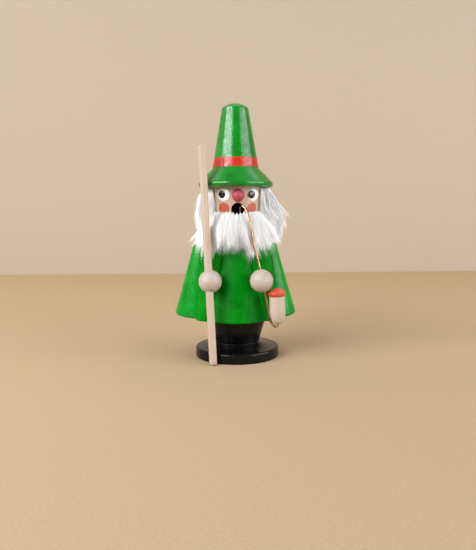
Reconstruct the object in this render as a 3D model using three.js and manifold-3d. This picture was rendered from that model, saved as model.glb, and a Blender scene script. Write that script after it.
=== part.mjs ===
// A turned wooden incense smoker figure: a gnome whose hollow coat lifts off its stem,
// so that an incense cone can stand on the plate inside and smoke through the mouth.
// Millimetres, +Z up, the front looks along -Y. The origin is the middle of the foot's underside.
// The staff side is -X and the pipe side is +X.
import * as THREE from 'three';
import { mergeVertices } from 'three/addons/utils/BufferGeometryUtils.js';
import Module from 'manifold-3d';

// Fits between pieces
const GLUE_GAP = 0.3;
const SLIP_GAP = 0.3;
const FLOOR_GAP = 0.4;

// Foot and stem
const BASE_RADIUS = 28.75;
const BASE_RIM_HEIGHT = 6.8;
const BASE_RIM_ROUND = 2.4;
const BASE_CHAMFER = 0.6;
const BASE_FLOOR = 3;
const COVE_HEIGHT = 3.6;
const COVE_LAND = 0.8;
const STEM_FOOT_RADIUS = 15.4;
const STEM_TOP_RADIUS = 19.7;
const STEM_HEIGHT = 14.7;
const STEM_TENON_RADIUS = 7;
const SPIGOT_RADIUS = 14.5;
const SPIGOT_LENGTH = 6.5;

// Incense plate and its nail
const PLATE_RADIUS = 11.5;
const PLATE_SHEET = 0.6;
const PLATE_LIP = 1.8;
const NAIL_RADIUS = 0.7;
const NAIL_HEAD_RADIUS = 2;
const NAIL_HEAD_HEIGHT = 0.8;
const NAIL_DEPTH = 8;

// Coat, with the smoke chamber inside
const COAT_HEIGHT = 56.3;
const COAT_HEM_RADIUS = 23.5;
const COAT_HEM_ROUND = 1;
const COAT_SHOULDER_RADIUS = 13.6;
const COAT_SHOULDER_HEIGHT = 49.3;
const COAT_NECK_RADIUS = 10.5;
const CHAMBER_FOOT = 1.2;
const CHAMBER_TOP_RADIUS = 5.5;
const CHAMBER_ROOF = 5;
const SMOKE_BORE_RADIUS = 3.4;

// Arms, the rounded folds that carry the hands
const ARM_FOOT_X = 20.4;
const ARM_FOOT_Y = -7;
const ARM_TOP_X = 14.9;
const ARM_TOP_Y = -8.2;
const ARM_FOOT_RADIUS = 7.8;
const ARM_SHOULDER_RADIUS = 7.5;
const ARM_SHOULDER_HEIGHT = 46;
const ARM_HEIGHT = 52.3;

// Sleeves, the wide cones at the sides
const SLEEVE_FOOT_X = 27.5;
const SLEEVE_FOOT_Y = 9;
const SLEEVE_TOP_X = 22.6;
const SLEEVE_TOP_Y = 2.6;
const SLEEVE_SHIFT = -1;
const SLEEVE_FOOT_RADIUS = 16;
const SLEEVE_SHOULDER_RADIUS = 6.4;
const SLEEVE_SHOULDER_HEIGHT = 47.3;
const SLEEVE_HEIGHT = 54.3;
const LIMB_HEM_ROUND = 1;

// Dowels from the arms and sleeves into the coat
const DOWEL_RADIUS = 2;
const DOWEL_HEIGHT = 20;
const DOWEL_IN_COAT = 4.5;
const DOWEL_OUT = 4.5;

// Hands and the pegs that hold them
const HAND_RADIUS = 7.5;
const HAND_HEIGHT = 28.5;
const PIPE_HAND_X = 16.2;
const HAND_PEG_RADIUS = 1.4;
const HAND_PEG_IN_HAND = 4;
const HAND_PEG_IN_ARM = 5;

// Staff, a square stick that leans past the foot and the brim
const STAFF_SIDE = 4;
const STAFF_LENGTH = 141;
const STAFF_TURN = 25;
const STAFF_FOOT_X = -15.5;
const STAFF_BRIM_X = -20.4;
const STAFF_BASE_GAP = 1.3;
const STAFF_BRIM_GAP = 0.6;
const STAFF_OFF_HAND_X = 0.7;
const STAFF_OFF_HAND_Y = 1.9;

// Head and nose
const HEAD_HEIGHT = 34;
const HEAD_TOP_RADIUS = 16.6;
const HEAD_CHIN_RADIUS = 14.2;
const HEAD_CHIN_ROUND = 3;
const HEAD_TENON_RADIUS = 6;
const HEAD_TENON_LENGTH = 7;
const FACE_TURN = 5;
const MOUTH_RADIUS = 4.4;
const MOUTH_HEIGHT = 18.1;
const NOSE_RADIUS = 4.1;
const NOSE_HEIGHT = 27;
const NOSE_STANDS_OUT = 1;
const NOSE_PEG_RADIUS = 0.8;
const NOSE_PEG_LENGTH = 4;

// Hat
const HAT_TENON_RADIUS = 9;
const HAT_TENON_LENGTH = 8;
const BRIM_RADIUS = 25.2;
const BRIM_EDGE_ROUND = 1.9;
const BRIM_DROP = 0.9;
const BRIM_RISE = 11.3;
const HAT_NECK_RADIUS = 15.6;
const HAT_CONE_HEIGHT = 39;
const HAT_TOP_RADIUS = 8.6;
const HAT_DOME_HEIGHT = 3.5;

// Pipe: bent wire, bowl and lid
const WIRE_RADIUS = 0.75;
const WIRE_IN_BOWL = 4;
const WIRE_AT_BOWL_FOOT = 0.2;
const BOWL_X = 27;
const BOWL_Y = -22;
const BOWL_FOOT_ABOVE_HEM = 0.2;
const BOWL_HEIGHT = 18;
const BOWL_RADIUS = 5.1;
const BOWL_FOOT_ROUND = 2.2;
const BOWL_TILT = 2.5;
const LID_RADIUS = 6;
const LID_EDGE = 1.2;
const LID_DOME = 3.8;
const LID_SPIGOT_RADIUS = 2;
const LID_SPIGOT_LENGTH = 3;

// Fur
const FUR_SPREAD = 1.2;
const HAIR_PART = 68;
const BEARD_HALF = 62;
const HAIR_TOP_RADIUS = 17.9;
const HAIR_FLARE_RADIUS = 27;
const HAIR_LOW_RADIUS = 23.5;
const HAIR_FLARE_DROP = 19;
const HAIR_DROP = 36.5;
const BEARD_RADIUS = 20.6;
const BEARD_TOP_RADIUS = 18.2;
const BEARD_DROP = 22.5;

// Fineness of the turned pieces
const TURNS = 32;
const SMALL_TURNS = 16;
const ROUND_STEPS = 3;
const WIRE_SIDES = 4;
const WIRE_STEPS = 48;
const WELD = 1e-4;
const FAR = 200;

// Heights of the seats, from the floor up
const baseTop = BASE_RIM_HEIGHT + COVE_HEIGHT;
const stemFoot = baseTop + GLUE_GAP;
const stemTop = stemFoot + STEM_HEIGHT;
const spigotTop = stemTop + SPIGOT_LENGTH;
const plateSeat = spigotTop + GLUE_GAP;
const hem = stemTop + SLIP_GAP;
const coatTop = hem + COAT_HEIGHT;
const headFoot = coatTop + GLUE_GAP;
const headTop = headFoot + HEAD_HEIGHT;
const hatSeat = headTop + GLUE_GAP;
const hatNeck = hatSeat + BRIM_RISE;
const hatConeTop = hatNeck + HAT_CONE_HEIGHT;
const mouthZ = headFoot + MOUTH_HEIGHT;
const noseZ = headFoot + NOSE_HEIGHT;
const handZ = hem + HAND_HEIGHT;

const STAFF_HAND_SIDE = -1;
const PIPE_HAND_SIDE = 1;
const UP = new THREE.Vector3(0, 0, 1);
const BACK = new THREE.Vector3(0, 1, 0);
const radians = THREE.MathUtils.degToRad;

const wasm = await Module();
wasm.setup();

// A closed geometry as a solid that can be cut and joined
function solidOf(geometry) {
  const bare = new THREE.BufferGeometry();
  bare.setAttribute('position', geometry.getAttribute('position'));
  bare.setIndex(geometry.index);
  const merged = mergeVertices(bare, WELD);
  const whole = [];
  const corners = merged.index.array;
  for (let i = 0; i < corners.length; i += 3) {
    const [a, b, c] = corners.subarray(i, i + 3);
    if (a !== b && b !== c && c !== a) whole.push(a, b, c);
  }
  const vertProperties = new Float32Array(merged.getAttribute('position').array);
  const triVerts = new Uint32Array(whole);
  return new wasm.Manifold(new wasm.Mesh({ numProp: 3, vertProperties, triVerts }));
}

// A solid as a geometry for a mesh
function geometryOf(solid) {
  const mesh = solid.getMesh();
  const geometry = new THREE.BufferGeometry();
  geometry.setAttribute('position', new THREE.BufferAttribute(mesh.vertProperties, 3));
  geometry.setIndex(new THREE.BufferAttribute(mesh.triVerts, 1));
  geometry.computeVertexNormals();
  return geometry;
}

function cutBy(solid, cutters) {
  return cutters.reduce((left, cutter) => left.subtract(cutter), solid);
}

function largestPiece(solid) {
  return solid.decompose().reduce((best, piece) => (piece.volume() > best.volume() ? piece : best));
}

// Turns a profile of radius and height about the Z axis
function turned(profile, turns = TURNS) {
  const points = profile.getPoints(ROUND_STEPS);
  return new THREE.LatheGeometry(points, turns).rotateX(Math.PI / 2);
}

function profileFrom(radius, height) {
  const profile = new THREE.Path();
  profile.moveTo(radius, height);
  return profile;
}

// A round rod between two points, with square ends
function rod(from, to, radius, turns = SMALL_TURNS) {
  const along = to.clone().sub(from);
  const geometry = new THREE.CylinderGeometry(radius, radius, along.length(), turns);
  geometry.applyQuaternion(new THREE.Quaternion().setFromUnitVectors(BACK, along.normalize()));
  return geometry.translate(...from.clone().add(to).multiplyScalar(0.5).toArray());
}

// The hole that a rod is glued into
function rodHole(from, to, radius) {
  const reach = to.clone().sub(from).setLength(GLUE_GAP);
  return solidOf(rod(from.clone().sub(reach), to.clone().add(reach), radius + GLUE_GAP));
}

function atAzimuth(degrees, radius, height) {
  const angle = radians(degrees);
  return new THREE.Vector3(radius * Math.sin(angle), -radius * Math.cos(angle), height);
}

// Base disc, with a socket for the stem's tenon
function baseDisc() {
  const socket = STEM_TENON_RADIUS + GLUE_GAP;
  const coveRadius = STEM_FOOT_RADIUS + COVE_LAND;
  const rimInside = BASE_RADIUS - BASE_RIM_ROUND;
  const profile = profileFrom(0, 0);
  profile.lineTo(BASE_RADIUS - BASE_CHAMFER, 0);
  profile.lineTo(BASE_RADIUS, BASE_CHAMFER);
  profile.lineTo(BASE_RADIUS, BASE_RIM_HEIGHT - BASE_RIM_ROUND);
  profile.absarc(rimInside, BASE_RIM_HEIGHT - BASE_RIM_ROUND, BASE_RIM_ROUND, 0, Math.PI / 2);
  profile.quadraticCurveTo(coveRadius, BASE_RIM_HEIGHT, coveRadius, baseTop);
  profile.lineTo(socket, baseTop);
  profile.lineTo(socket, BASE_FLOOR);
  profile.lineTo(0, BASE_FLOOR);
  return turned(profile);
}

// Stem, with a tenon below, the coat's spigot above and a hole for the nail
function legStem() {
  const nailHole = NAIL_RADIUS + GLUE_GAP;
  const profile = profileFrom(0, BASE_FLOOR + GLUE_GAP);
  profile.lineTo(STEM_TENON_RADIUS, BASE_FLOOR + GLUE_GAP);
  profile.lineTo(STEM_TENON_RADIUS, stemFoot);
  profile.lineTo(STEM_FOOT_RADIUS, stemFoot);
  profile.lineTo(STEM_TOP_RADIUS, stemTop);
  profile.lineTo(SPIGOT_RADIUS, stemTop);
  profile.lineTo(SPIGOT_RADIUS, spigotTop);
  profile.lineTo(nailHole, spigotTop);
  profile.lineTo(nailHole, spigotTop - NAIL_DEPTH);
  profile.lineTo(0, spigotTop - NAIL_DEPTH);
  return turned(profile);
}

// Pressed sheet dish with a turned-up lip and a hole for its nail
function incensePlate() {
  const hole = NAIL_RADIUS + SLIP_GAP;
  const floor = plateSeat + PLATE_SHEET;
  const profile = profileFrom(hole, plateSeat);
  profile.lineTo(PLATE_RADIUS, plateSeat);
  profile.lineTo(PLATE_RADIUS, plateSeat + PLATE_LIP);
  profile.lineTo(PLATE_RADIUS - PLATE_SHEET, plateSeat + PLATE_LIP);
  profile.lineTo(PLATE_RADIUS - PLATE_SHEET, floor);
  profile.lineTo(hole, floor);
  profile.lineTo(hole, plateSeat);
  return turned(profile);
}

function plateNail() {
  const headSeat = plateSeat + PLATE_SHEET + SLIP_GAP;
  const tip = spigotTop - NAIL_DEPTH + GLUE_GAP;
  const profile = profileFrom(0, tip);
  profile.lineTo(NAIL_RADIUS, tip + NAIL_RADIUS);
  profile.lineTo(NAIL_RADIUS, headSeat);
  profile.lineTo(NAIL_HEAD_RADIUS, headSeat);
  profile.lineTo(NAIL_HEAD_RADIUS, headSeat + NAIL_HEAD_HEIGHT / 2);
  profile.lineTo(0, headSeat + NAIL_HEAD_HEIGHT);
  return turned(profile, SMALL_TURNS);
}

// Radius of the coat's cone at a height above the hem
function coatRadius(height) {
  const share = height / COAT_SHOULDER_HEIGHT;
  return THREE.MathUtils.lerp(COAT_HEM_RADIUS, COAT_SHOULDER_RADIUS, share);
}

// The coat's outside, from the hem over the shoulder to the neck
function drawCoatOutside(profile, grow) {
  const shoulder = hem + COAT_SHOULDER_HEIGHT;
  profile.lineTo(COAT_HEM_RADIUS - COAT_HEM_ROUND + grow, hem - grow);
  profile.lineTo(COAT_HEM_RADIUS + grow, hem + COAT_HEM_ROUND);
  profile.lineTo(COAT_SHOULDER_RADIUS + grow, shoulder);
  profile.quadraticCurveTo(COAT_SHOULDER_RADIUS + grow, coatTop + grow, COAT_NECK_RADIUS + grow, coatTop + grow);
}

function coatForm(grow) {
  const profile = profileFrom(0, hem - grow);
  drawCoatOutside(profile, grow);
  profile.lineTo(0, coatTop + grow);
  return solidOf(turned(profile));
}

// Coat body: a socket on the spigot, the smoke chamber, a throat and the head's socket
function coatBody() {
  const socket = SPIGOT_RADIUS + SLIP_GAP;
  const headSocket = HEAD_TENON_RADIUS + GLUE_GAP;
  const headSocketFloor = coatTop - HEAD_TENON_LENGTH - GLUE_GAP;
  const chamberTop = headSocketFloor - CHAMBER_ROOF;
  const profile = profileFrom(socket, hem);
  drawCoatOutside(profile, 0);
  profile.lineTo(headSocket, coatTop);
  profile.lineTo(headSocket, headSocketFloor);
  profile.lineTo(SMOKE_BORE_RADIUS, headSocketFloor);
  profile.lineTo(SMOKE_BORE_RADIUS, chamberTop);
  profile.lineTo(CHAMBER_TOP_RADIUS, chamberTop);
  profile.lineTo(socket, spigotTop + CHAMBER_FOOT);
  profile.lineTo(socket, hem);
  return solidOf(turned(profile));
}

const ARM = {
  foot: new THREE.Vector2(ARM_FOOT_X, ARM_FOOT_Y),
  top: new THREE.Vector2(ARM_TOP_X, ARM_TOP_Y),
  shift: 0,
  footRadius: ARM_FOOT_RADIUS,
  shoulderRadius: ARM_SHOULDER_RADIUS,
  shoulderHeight: ARM_SHOULDER_HEIGHT,
  height: ARM_HEIGHT,
};

const SLEEVE = {
  foot: new THREE.Vector2(SLEEVE_FOOT_X, SLEEVE_FOOT_Y),
  top: new THREE.Vector2(SLEEVE_TOP_X, SLEEVE_TOP_Y),
  shift: SLEEVE_SHIFT,
  footRadius: SLEEVE_FOOT_RADIUS,
  shoulderRadius: SLEEVE_SHOULDER_RADIUS,
  shoulderHeight: SLEEVE_SHOULDER_HEIGHT,
  height: SLEEVE_HEIGHT,
};

// Middle of an arm or sleeve at a height above the hem
function limbMiddle(limb, side, height) {
  const middle = limb.foot.clone().lerp(limb.top, height / limb.height);
  return new THREE.Vector3(side * middle.x + limb.shift, middle.y, hem + height);
}

// A leaning cone with a domed shoulder and a level foot
function limbForm(limb, side, grow) {
  const dome = limb.height - limb.shoulderHeight;
  const profile = profileFrom(0, -grow);
  profile.lineTo(limb.footRadius - LIMB_HEM_ROUND + grow, -grow);
  profile.lineTo(limb.footRadius + grow, LIMB_HEM_ROUND);
  profile.absellipse(0, limb.shoulderHeight, limb.shoulderRadius + grow, dome + grow, 0, Math.PI / 2);
  const geometry = turned(profile);
  const foot = limbMiddle(limb, side, 0);
  const lean = limbMiddle(limb, side, limb.height).sub(foot).divideScalar(limb.height);
  const place = new THREE.Matrix4();
  place.set(1, 0, lean.x, foot.x, 0, 1, lean.y, foot.y, 0, 0, 1, hem, 0, 0, 0, 1);
  return solidOf(geometry.applyMatrix4(place));
}

// Both ends of a dowel from a limb into the coat, pointing at the coat's axis
function dowelEnds(limb, side) {
  const outward = limbMiddle(limb, side, DOWEL_HEIGHT).setZ(0).normalize();
  const surface = coatRadius(DOWEL_HEIGHT);
  const level = new THREE.Vector3(0, 0, hem + DOWEL_HEIGHT);
  const inner = outward.clone().multiplyScalar(surface - DOWEL_IN_COAT).add(level);
  const outer = outward.clone().multiplyScalar(surface + DOWEL_OUT).add(level);
  return [inner, outer];
}

// Front of an arm at the hands' height, straight behind a given x
function armFront(side, x) {
  const middle = limbMiddle(ARM, side, HAND_HEIGHT);
  const share = HAND_HEIGHT / ARM_SHOULDER_HEIGHT;
  const radius = THREE.MathUtils.lerp(ARM_FOOT_RADIUS, ARM_SHOULDER_RADIUS, share);
  const off = Math.min(Math.abs(x - middle.x), radius);
  return middle.y - Math.sqrt(radius * radius - off * off);
}

// The staff's middle line passes clear of the foot below and of the brim above
const staffCorner = STAFF_SIDE * Math.SQRT1_2;
const brimMiddle = hatSeat - BRIM_DROP + BRIM_EDGE_ROUND;

function inFrontOf(radius, gap, x, z) {
  const clear = radius + gap + staffCorner;
  return new THREE.Vector3(x, -Math.sqrt(clear * clear - x * x), z);
}

const staffLow = inFrontOf(BASE_RADIUS, STAFF_BASE_GAP, STAFF_FOOT_X, 0);
const staffHigh = inFrontOf(BRIM_RADIUS, STAFF_BRIM_GAP, STAFF_BRIM_X, brimMiddle);
const staffWay = staffHigh.clone().sub(staffLow).normalize();

function staffPointAt(z) {
  return staffLow.clone().addScaledVector(staffWay, (z - staffLow.z) / staffWay.z);
}

// A square stick along the staff's line
function staffForm(side, length, foot) {
  const geometry = new THREE.BoxGeometry(side, side, length);
  geometry.rotateZ(radians(STAFF_TURN));
  geometry.translate(0, 0, length / 2);
  geometry.applyQuaternion(new THREE.Quaternion().setFromUnitVectors(UP, staffWay));
  return geometry.translate(foot.x, foot.y, foot.z);
}

const staffFoot = staffPointAt(FLOOR_GAP + staffCorner * Math.hypot(staffWay.x, staffWay.y));
const staffHandOnLine = staffPointAt(handZ);
const handMiddle = {
  [STAFF_HAND_SIDE]: staffHandOnLine.clone().add(new THREE.Vector3(STAFF_OFF_HAND_X, STAFF_OFF_HAND_Y, 0)),
  [PIPE_HAND_SIDE]: new THREE.Vector3(
    PIPE_HAND_X,
    armFront(PIPE_HAND_SIDE, PIPE_HAND_X) - GLUE_GAP - HAND_RADIUS,
    handZ,
  ),
};

function handPegEnds(side) {
  const middle = handMiddle[side];
  const inHand = middle.clone().setY(middle.y + HAND_RADIUS - HAND_PEG_IN_HAND);
  const inArm = middle.clone().setY(armFront(side, middle.x) + HAND_PEG_IN_ARM);
  return [inHand, inArm];
}

// Radius of the head at a height above its foot
function headRadius(height) {
  const share = (height - HEAD_CHIN_ROUND) / (HEAD_HEIGHT - HEAD_CHIN_ROUND);
  return THREE.MathUtils.lerp(HEAD_CHIN_RADIUS, HEAD_TOP_RADIUS, share);
}

// Head drum with a tenon at each end
function headForm(grow) {
  const tenonFoot = coatTop - HEAD_TENON_LENGTH;
  const chinInside = HEAD_CHIN_RADIUS - HEAD_CHIN_ROUND;
  const chinTop = headFoot + HEAD_CHIN_ROUND;
  const profile = profileFrom(0, tenonFoot - grow);
  profile.lineTo(HEAD_TENON_RADIUS + grow, tenonFoot - grow);
  profile.lineTo(HEAD_TENON_RADIUS + grow, headFoot - grow);
  profile.lineTo(chinInside, headFoot - grow);
  profile.absarc(chinInside, chinTop, HEAD_CHIN_ROUND + grow, -Math.PI / 2, 0);
  profile.lineTo(HEAD_TOP_RADIUS + grow, headTop + grow);
  profile.lineTo(HAT_TENON_RADIUS + grow, headTop + grow);
  profile.lineTo(HAT_TENON_RADIUS + grow, headTop + HAT_TENON_LENGTH + grow);
  profile.lineTo(0, headTop + HAT_TENON_LENGTH + grow);
  return solidOf(turned(profile));
}

const noseSeat = headRadius(NOSE_HEIGHT);
const noseMiddle = atAzimuth(FACE_TURN, noseSeat + NOSE_STANDS_OUT, noseZ);
const nosePegEnd = atAzimuth(FACE_TURN, noseSeat - NOSE_PEG_LENGTH, noseZ);

// Head with the smoke bore from below, the mouth that meets it and the nose's hole
function head() {
  const smokeFoot = new THREE.Vector3(0, 0, coatTop - FAR);
  const smokeTop = new THREE.Vector3(0, 0, mouthZ);
  const mouthOut = atAzimuth(FACE_TURN, FAR, mouthZ);
  const smokeBore = solidOf(rod(smokeFoot, smokeTop, SMOKE_BORE_RADIUS));
  const mouthBore = solidOf(rod(smokeTop, mouthOut, MOUTH_RADIUS, TURNS));
  const noseHole = rodHole(nosePegEnd, noseMiddle, NOSE_PEG_RADIUS);
  return cutBy(headForm(0), [smokeBore, mouthBore, noseHole]);
}

// Nose bead, hollowed behind to sit on the head, with its peg
function nose() {
  const bead = new THREE.SphereGeometry(NOSE_RADIUS, SMALL_TURNS, SMALL_TURNS / 2);
  bead.translate(noseMiddle.x, noseMiddle.y, noseMiddle.z);
  const peg = solidOf(rod(nosePegEnd, noseMiddle, NOSE_PEG_RADIUS));
  return solidOf(bead).subtract(headForm(GLUE_GAP)).add(peg);
}

// The hat's outside: rounded brim edge, flare, cone and domed top
function drawHatOutside(profile, grow) {
  const edgeMiddle = BRIM_RADIUS - BRIM_EDGE_ROUND;
  const domeSide = HAT_DOME_HEIGHT / 2;
  profile.absarc(edgeMiddle, brimMiddle, BRIM_EDGE_ROUND + grow, -Math.PI / 2, Math.PI / 4);
  profile.lineTo(HAT_NECK_RADIUS + grow, hatNeck);
  profile.lineTo(HAT_TOP_RADIUS + grow, hatConeTop);
  profile.quadraticCurveTo(HAT_TOP_RADIUS + grow, hatConeTop + domeSide, 0, hatConeTop + HAT_DOME_HEIGHT + grow);
}

function hatForm(grow) {
  const profile = profileFrom(0, hatSeat - grow);
  profile.lineTo(HEAD_TOP_RADIUS, hatSeat - grow);
  drawHatOutside(profile, grow);
  return solidOf(turned(profile));
}

// Hat, with a socket for the head's tenon
function hat() {
  const socket = HAT_TENON_RADIUS + GLUE_GAP;
  const socketTop = headTop + HAT_TENON_LENGTH + GLUE_GAP;
  const profile = profileFrom(socket, hatSeat);
  profile.lineTo(HEAD_TOP_RADIUS, hatSeat);
  drawHatOutside(profile, 0);
  profile.lineTo(0, socketTop);
  profile.lineTo(socket, socketTop);
  profile.lineTo(socket, hatSeat);
  return turned(profile);
}

// The pipe bowl's own frame, leaning a little to the side
const bowlPlace = new THREE.Matrix4().makeRotationY(radians(-BOWL_TILT));
bowlPlace.setPosition(BOWL_X, BOWL_Y, hem + BOWL_FOOT_ABOVE_HEM);

function onBowlAxis(height) {
  return new THREE.Vector3(0, 0, height).applyMatrix4(bowlPlace);
}

// Bowl: a barrel with a round foot and a hole for the lid's spigot
function pipeBowl() {
  const hole = LID_SPIGOT_RADIUS + GLUE_GAP;
  const holeFloor = BOWL_HEIGHT - LID_SPIGOT_LENGTH - 2 * GLUE_GAP;
  const profile = profileFrom(0, 0);
  profile.lineTo(BOWL_RADIUS - BOWL_FOOT_ROUND, 0);
  profile.absarc(BOWL_RADIUS - BOWL_FOOT_ROUND, BOWL_FOOT_ROUND, BOWL_FOOT_ROUND, -Math.PI / 2, 0);
  profile.lineTo(BOWL_RADIUS, BOWL_HEIGHT);
  profile.lineTo(hole, BOWL_HEIGHT);
  profile.lineTo(hole, holeFloor);
  profile.lineTo(0, holeFloor);
  const barrel = solidOf(turned(profile, SMALL_TURNS).applyMatrix4(bowlPlace));
  return barrel.subtract(wireForm(GLUE_GAP));
}

// Lid: an overhanging dome with a spigot
function pipeLid() {
  const seat = BOWL_HEIGHT + GLUE_GAP;
  const profile = profileFrom(0, seat - LID_SPIGOT_LENGTH);
  profile.lineTo(LID_SPIGOT_RADIUS, seat - LID_SPIGOT_LENGTH);
  profile.lineTo(LID_SPIGOT_RADIUS, seat);
  profile.lineTo(LID_RADIUS, seat);
  profile.lineTo(LID_RADIUS, seat + LID_EDGE);
  profile.absellipse(0, seat + LID_EDGE, LID_RADIUS, LID_DOME, 0, Math.PI / 2);
  return turned(profile, SMALL_TURNS).applyMatrix4(bowlPlace);
}

// The wire's way: hooked down inside the mouth, out over the lip, down in front of the beard,
// through the hand and round under the bowl. Each bend lies off the piece that it passes,
// in shares of that piece's radius.
function wireWay() {
  const mouth = atAzimuth(FACE_TURN, headRadius(MOUTH_HEIGHT), mouthZ);
  const hand = handMiddle[PIPE_HAND_SIDE];
  const bowlFoot = onBowlAxis(0);
  const off = (middle, radius, x, y, z) => new THREE.Vector3(x, y, z).multiplyScalar(radius).add(middle);
  return new THREE.CatmullRomCurve3([
    off(mouth, MOUTH_RADIUS, 0.3, 0.77, -0.55),
    off(mouth, MOUTH_RADIUS, 0.32, 0.59, 0.18),
    off(mouth, MOUTH_RADIUS, 0.41, 0.25, 0.61),
    off(mouth, MOUTH_RADIUS, 0.66, -0.34, 0.52),
    off(mouth, MOUTH_RADIUS, 1.18, -0.7, -0.07),
    off(mouth, MOUTH_RADIUS, 1.5, -1.2, -1.14),
    off(mouth, MOUTH_RADIUS, 1.8, -1.55, -2.27),
    off(hand, HAND_RADIUS, -0.72, -0.04, 3.52),
    off(hand, HAND_RADIUS, -0.12, 0, 0.93),
    hand.clone(),
    off(hand, HAND_RADIUS, 0.27, 0.05, -0.93),
    off(bowlFoot, BOWL_RADIUS, -1.16, 0, 1.29),
    off(bowlFoot, BOWL_RADIUS, -0.92, 0, 0.25),
    off(bowlFoot, BOWL_RADIUS, -0.53, 0, -0.29),
    off(bowlFoot, BOWL_RADIUS, -0.16, 0, -0.37),
    onBowlAxis(WIRE_AT_BOWL_FOOT),
    onBowlAxis(WIRE_IN_BOWL),
  ]);
}

function wireForm(grow) {
  const section = new THREE.Shape();
  section.absarc(0, 0, WIRE_RADIUS + grow, 0, 2 * Math.PI);
  const extrudePath = wireWay();
  return solidOf(new THREE.ExtrudeGeometry(section, { extrudePath, steps: WIRE_STEPS, curveSegments: WIRE_SIDES }));
}

// A wedge of space about the Z axis, between two azimuths from the front
function sector(from, to) {
  const outline = new THREE.Shape();
  outline.moveTo(0, 0);
  const corners = 5;
  for (let i = 0; i <= corners; i += 1) {
    const corner = atAzimuth(THREE.MathUtils.lerp(from, to, i / corners), FAR, 0);
    outline.lineTo(corner.x, corner.y);
  }
  const geometry = new THREE.ExtrudeGeometry(outline, { depth: 2 * FAR, bevelEnabled: false });
  return solidOf(geometry.translate(0, 0, -FAR));
}

// Fur is cut clear of everything that it lies on or under
function furBesides(solid) {
  const sides = [STAFF_HAND_SIDE, PIPE_HAND_SIDE];
  const limbs = sides.flatMap((side) => [limbForm(ARM, side, GLUE_GAP), limbForm(SLEEVE, side, GLUE_GAP)]);
  const stick = solidOf(staffForm(STAFF_SIDE + 2 * GLUE_GAP, STAFF_LENGTH, staffFoot));
  const neighbours = [headForm(GLUE_GAP), coatForm(GLUE_GAP), hatForm(GLUE_GAP), wireForm(GLUE_GAP), stick];
  return largestPiece(cutBy(solid, [...neighbours, ...limbs]));
}

// Beard: a bib of fur from under the mouth to the chest
function beardFur() {
  const top = mouthZ - MOUTH_RADIUS - GLUE_GAP;
  const foot = top - BEARD_DROP;
  const profile = profileFrom(0, foot);
  profile.lineTo(COAT_SHOULDER_RADIUS, foot);
  profile.quadraticCurveTo(BEARD_RADIUS, foot, BEARD_RADIUS, foot + BEARD_DROP / 2);
  profile.lineTo(BEARD_TOP_RADIUS, top);
  profile.lineTo(0, top);
  return furBesides(solidOf(turned(profile)).intersect(sector(-BEARD_HALF, BEARD_HALF)));
}

// Hair: one side's tuft, from under the brim, flaring out over the shoulder
function hairFur(side) {
  const top = headTop - GLUE_GAP;
  const profile = profileFrom(0, top - HAIR_DROP);
  profile.lineTo(HAIR_LOW_RADIUS, top - HAIR_DROP);
  profile.quadraticCurveTo(HAIR_LOW_RADIUS, top - HAIR_FLARE_DROP, HAIR_FLARE_RADIUS, top - HAIR_FLARE_DROP);
  profile.lineTo(HAIR_TOP_RADIUS, top);
  profile.lineTo(0, top);
  const ring = solidOf(turned(profile).scale(FUR_SPREAD, 1, 1));
  const backGap = THREE.MathUtils.radToDeg(GLUE_GAP / HEAD_TOP_RADIUS);
  const ends = [HAIR_PART, 180 - backGap];
  const wedge = side > 0 ? sector(ends[0], ends[1]) : sector(-ends[1], -ends[0]);
  return furBesides(ring.intersect(wedge));
}

// Finishes
const finish = {
  black: new THREE.MeshStandardMaterial({ color: 0x17181a, roughness: 0.35 }),
  green: new THREE.MeshStandardMaterial({ color: 0x0e8a2c, roughness: 0.25 }),
  wood: new THREE.MeshStandardMaterial({ color: 0xe6cfae, roughness: 0.5 }),
  staffWood: new THREE.MeshStandardMaterial({ color: 0xd2b088, roughness: 0.6 }),
  red: new THREE.MeshStandardMaterial({ color: 0xd8412c, roughness: 0.3 }),
  nose: new THREE.MeshStandardMaterial({ color: 0xc03a50, roughness: 0.25 }),
  cream: new THREE.MeshStandardMaterial({ color: 0xe9d3b4, roughness: 0.45 }),
  brass: new THREE.MeshStandardMaterial({ color: 0xb08458, roughness: 0.3, metalness: 1 }),
  steel: new THREE.MeshStandardMaterial({ color: 0xb9bbbd, roughness: 0.4, metalness: 1 }),
  fur: new THREE.MeshStandardMaterial({ color: 0xeeeff0, roughness: 0.9 }),
};

const smoker = new THREE.Group();

function addNode(parent, name, shape, material) {
  const geometry = shape.isBufferGeometry ? shape : geometryOf(shape);
  const mesh = new THREE.Mesh(geometry, material);
  mesh.name = name;
  parent.add(mesh);
}

// What stays on the table
const stand = new THREE.Group();
addNode(stand, 'base_disc', baseDisc(), finish.black);
addNode(stand, 'leg_stem', legStem(), finish.black);
addNode(stand, 'incense_plate', incensePlate(), finish.brass);
addNode(stand, 'plate_nail', plateNail(), finish.steel);
smoker.add(stand);

// What lifts off
const figure = new THREE.Group();
const coatHoles = [];

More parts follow.
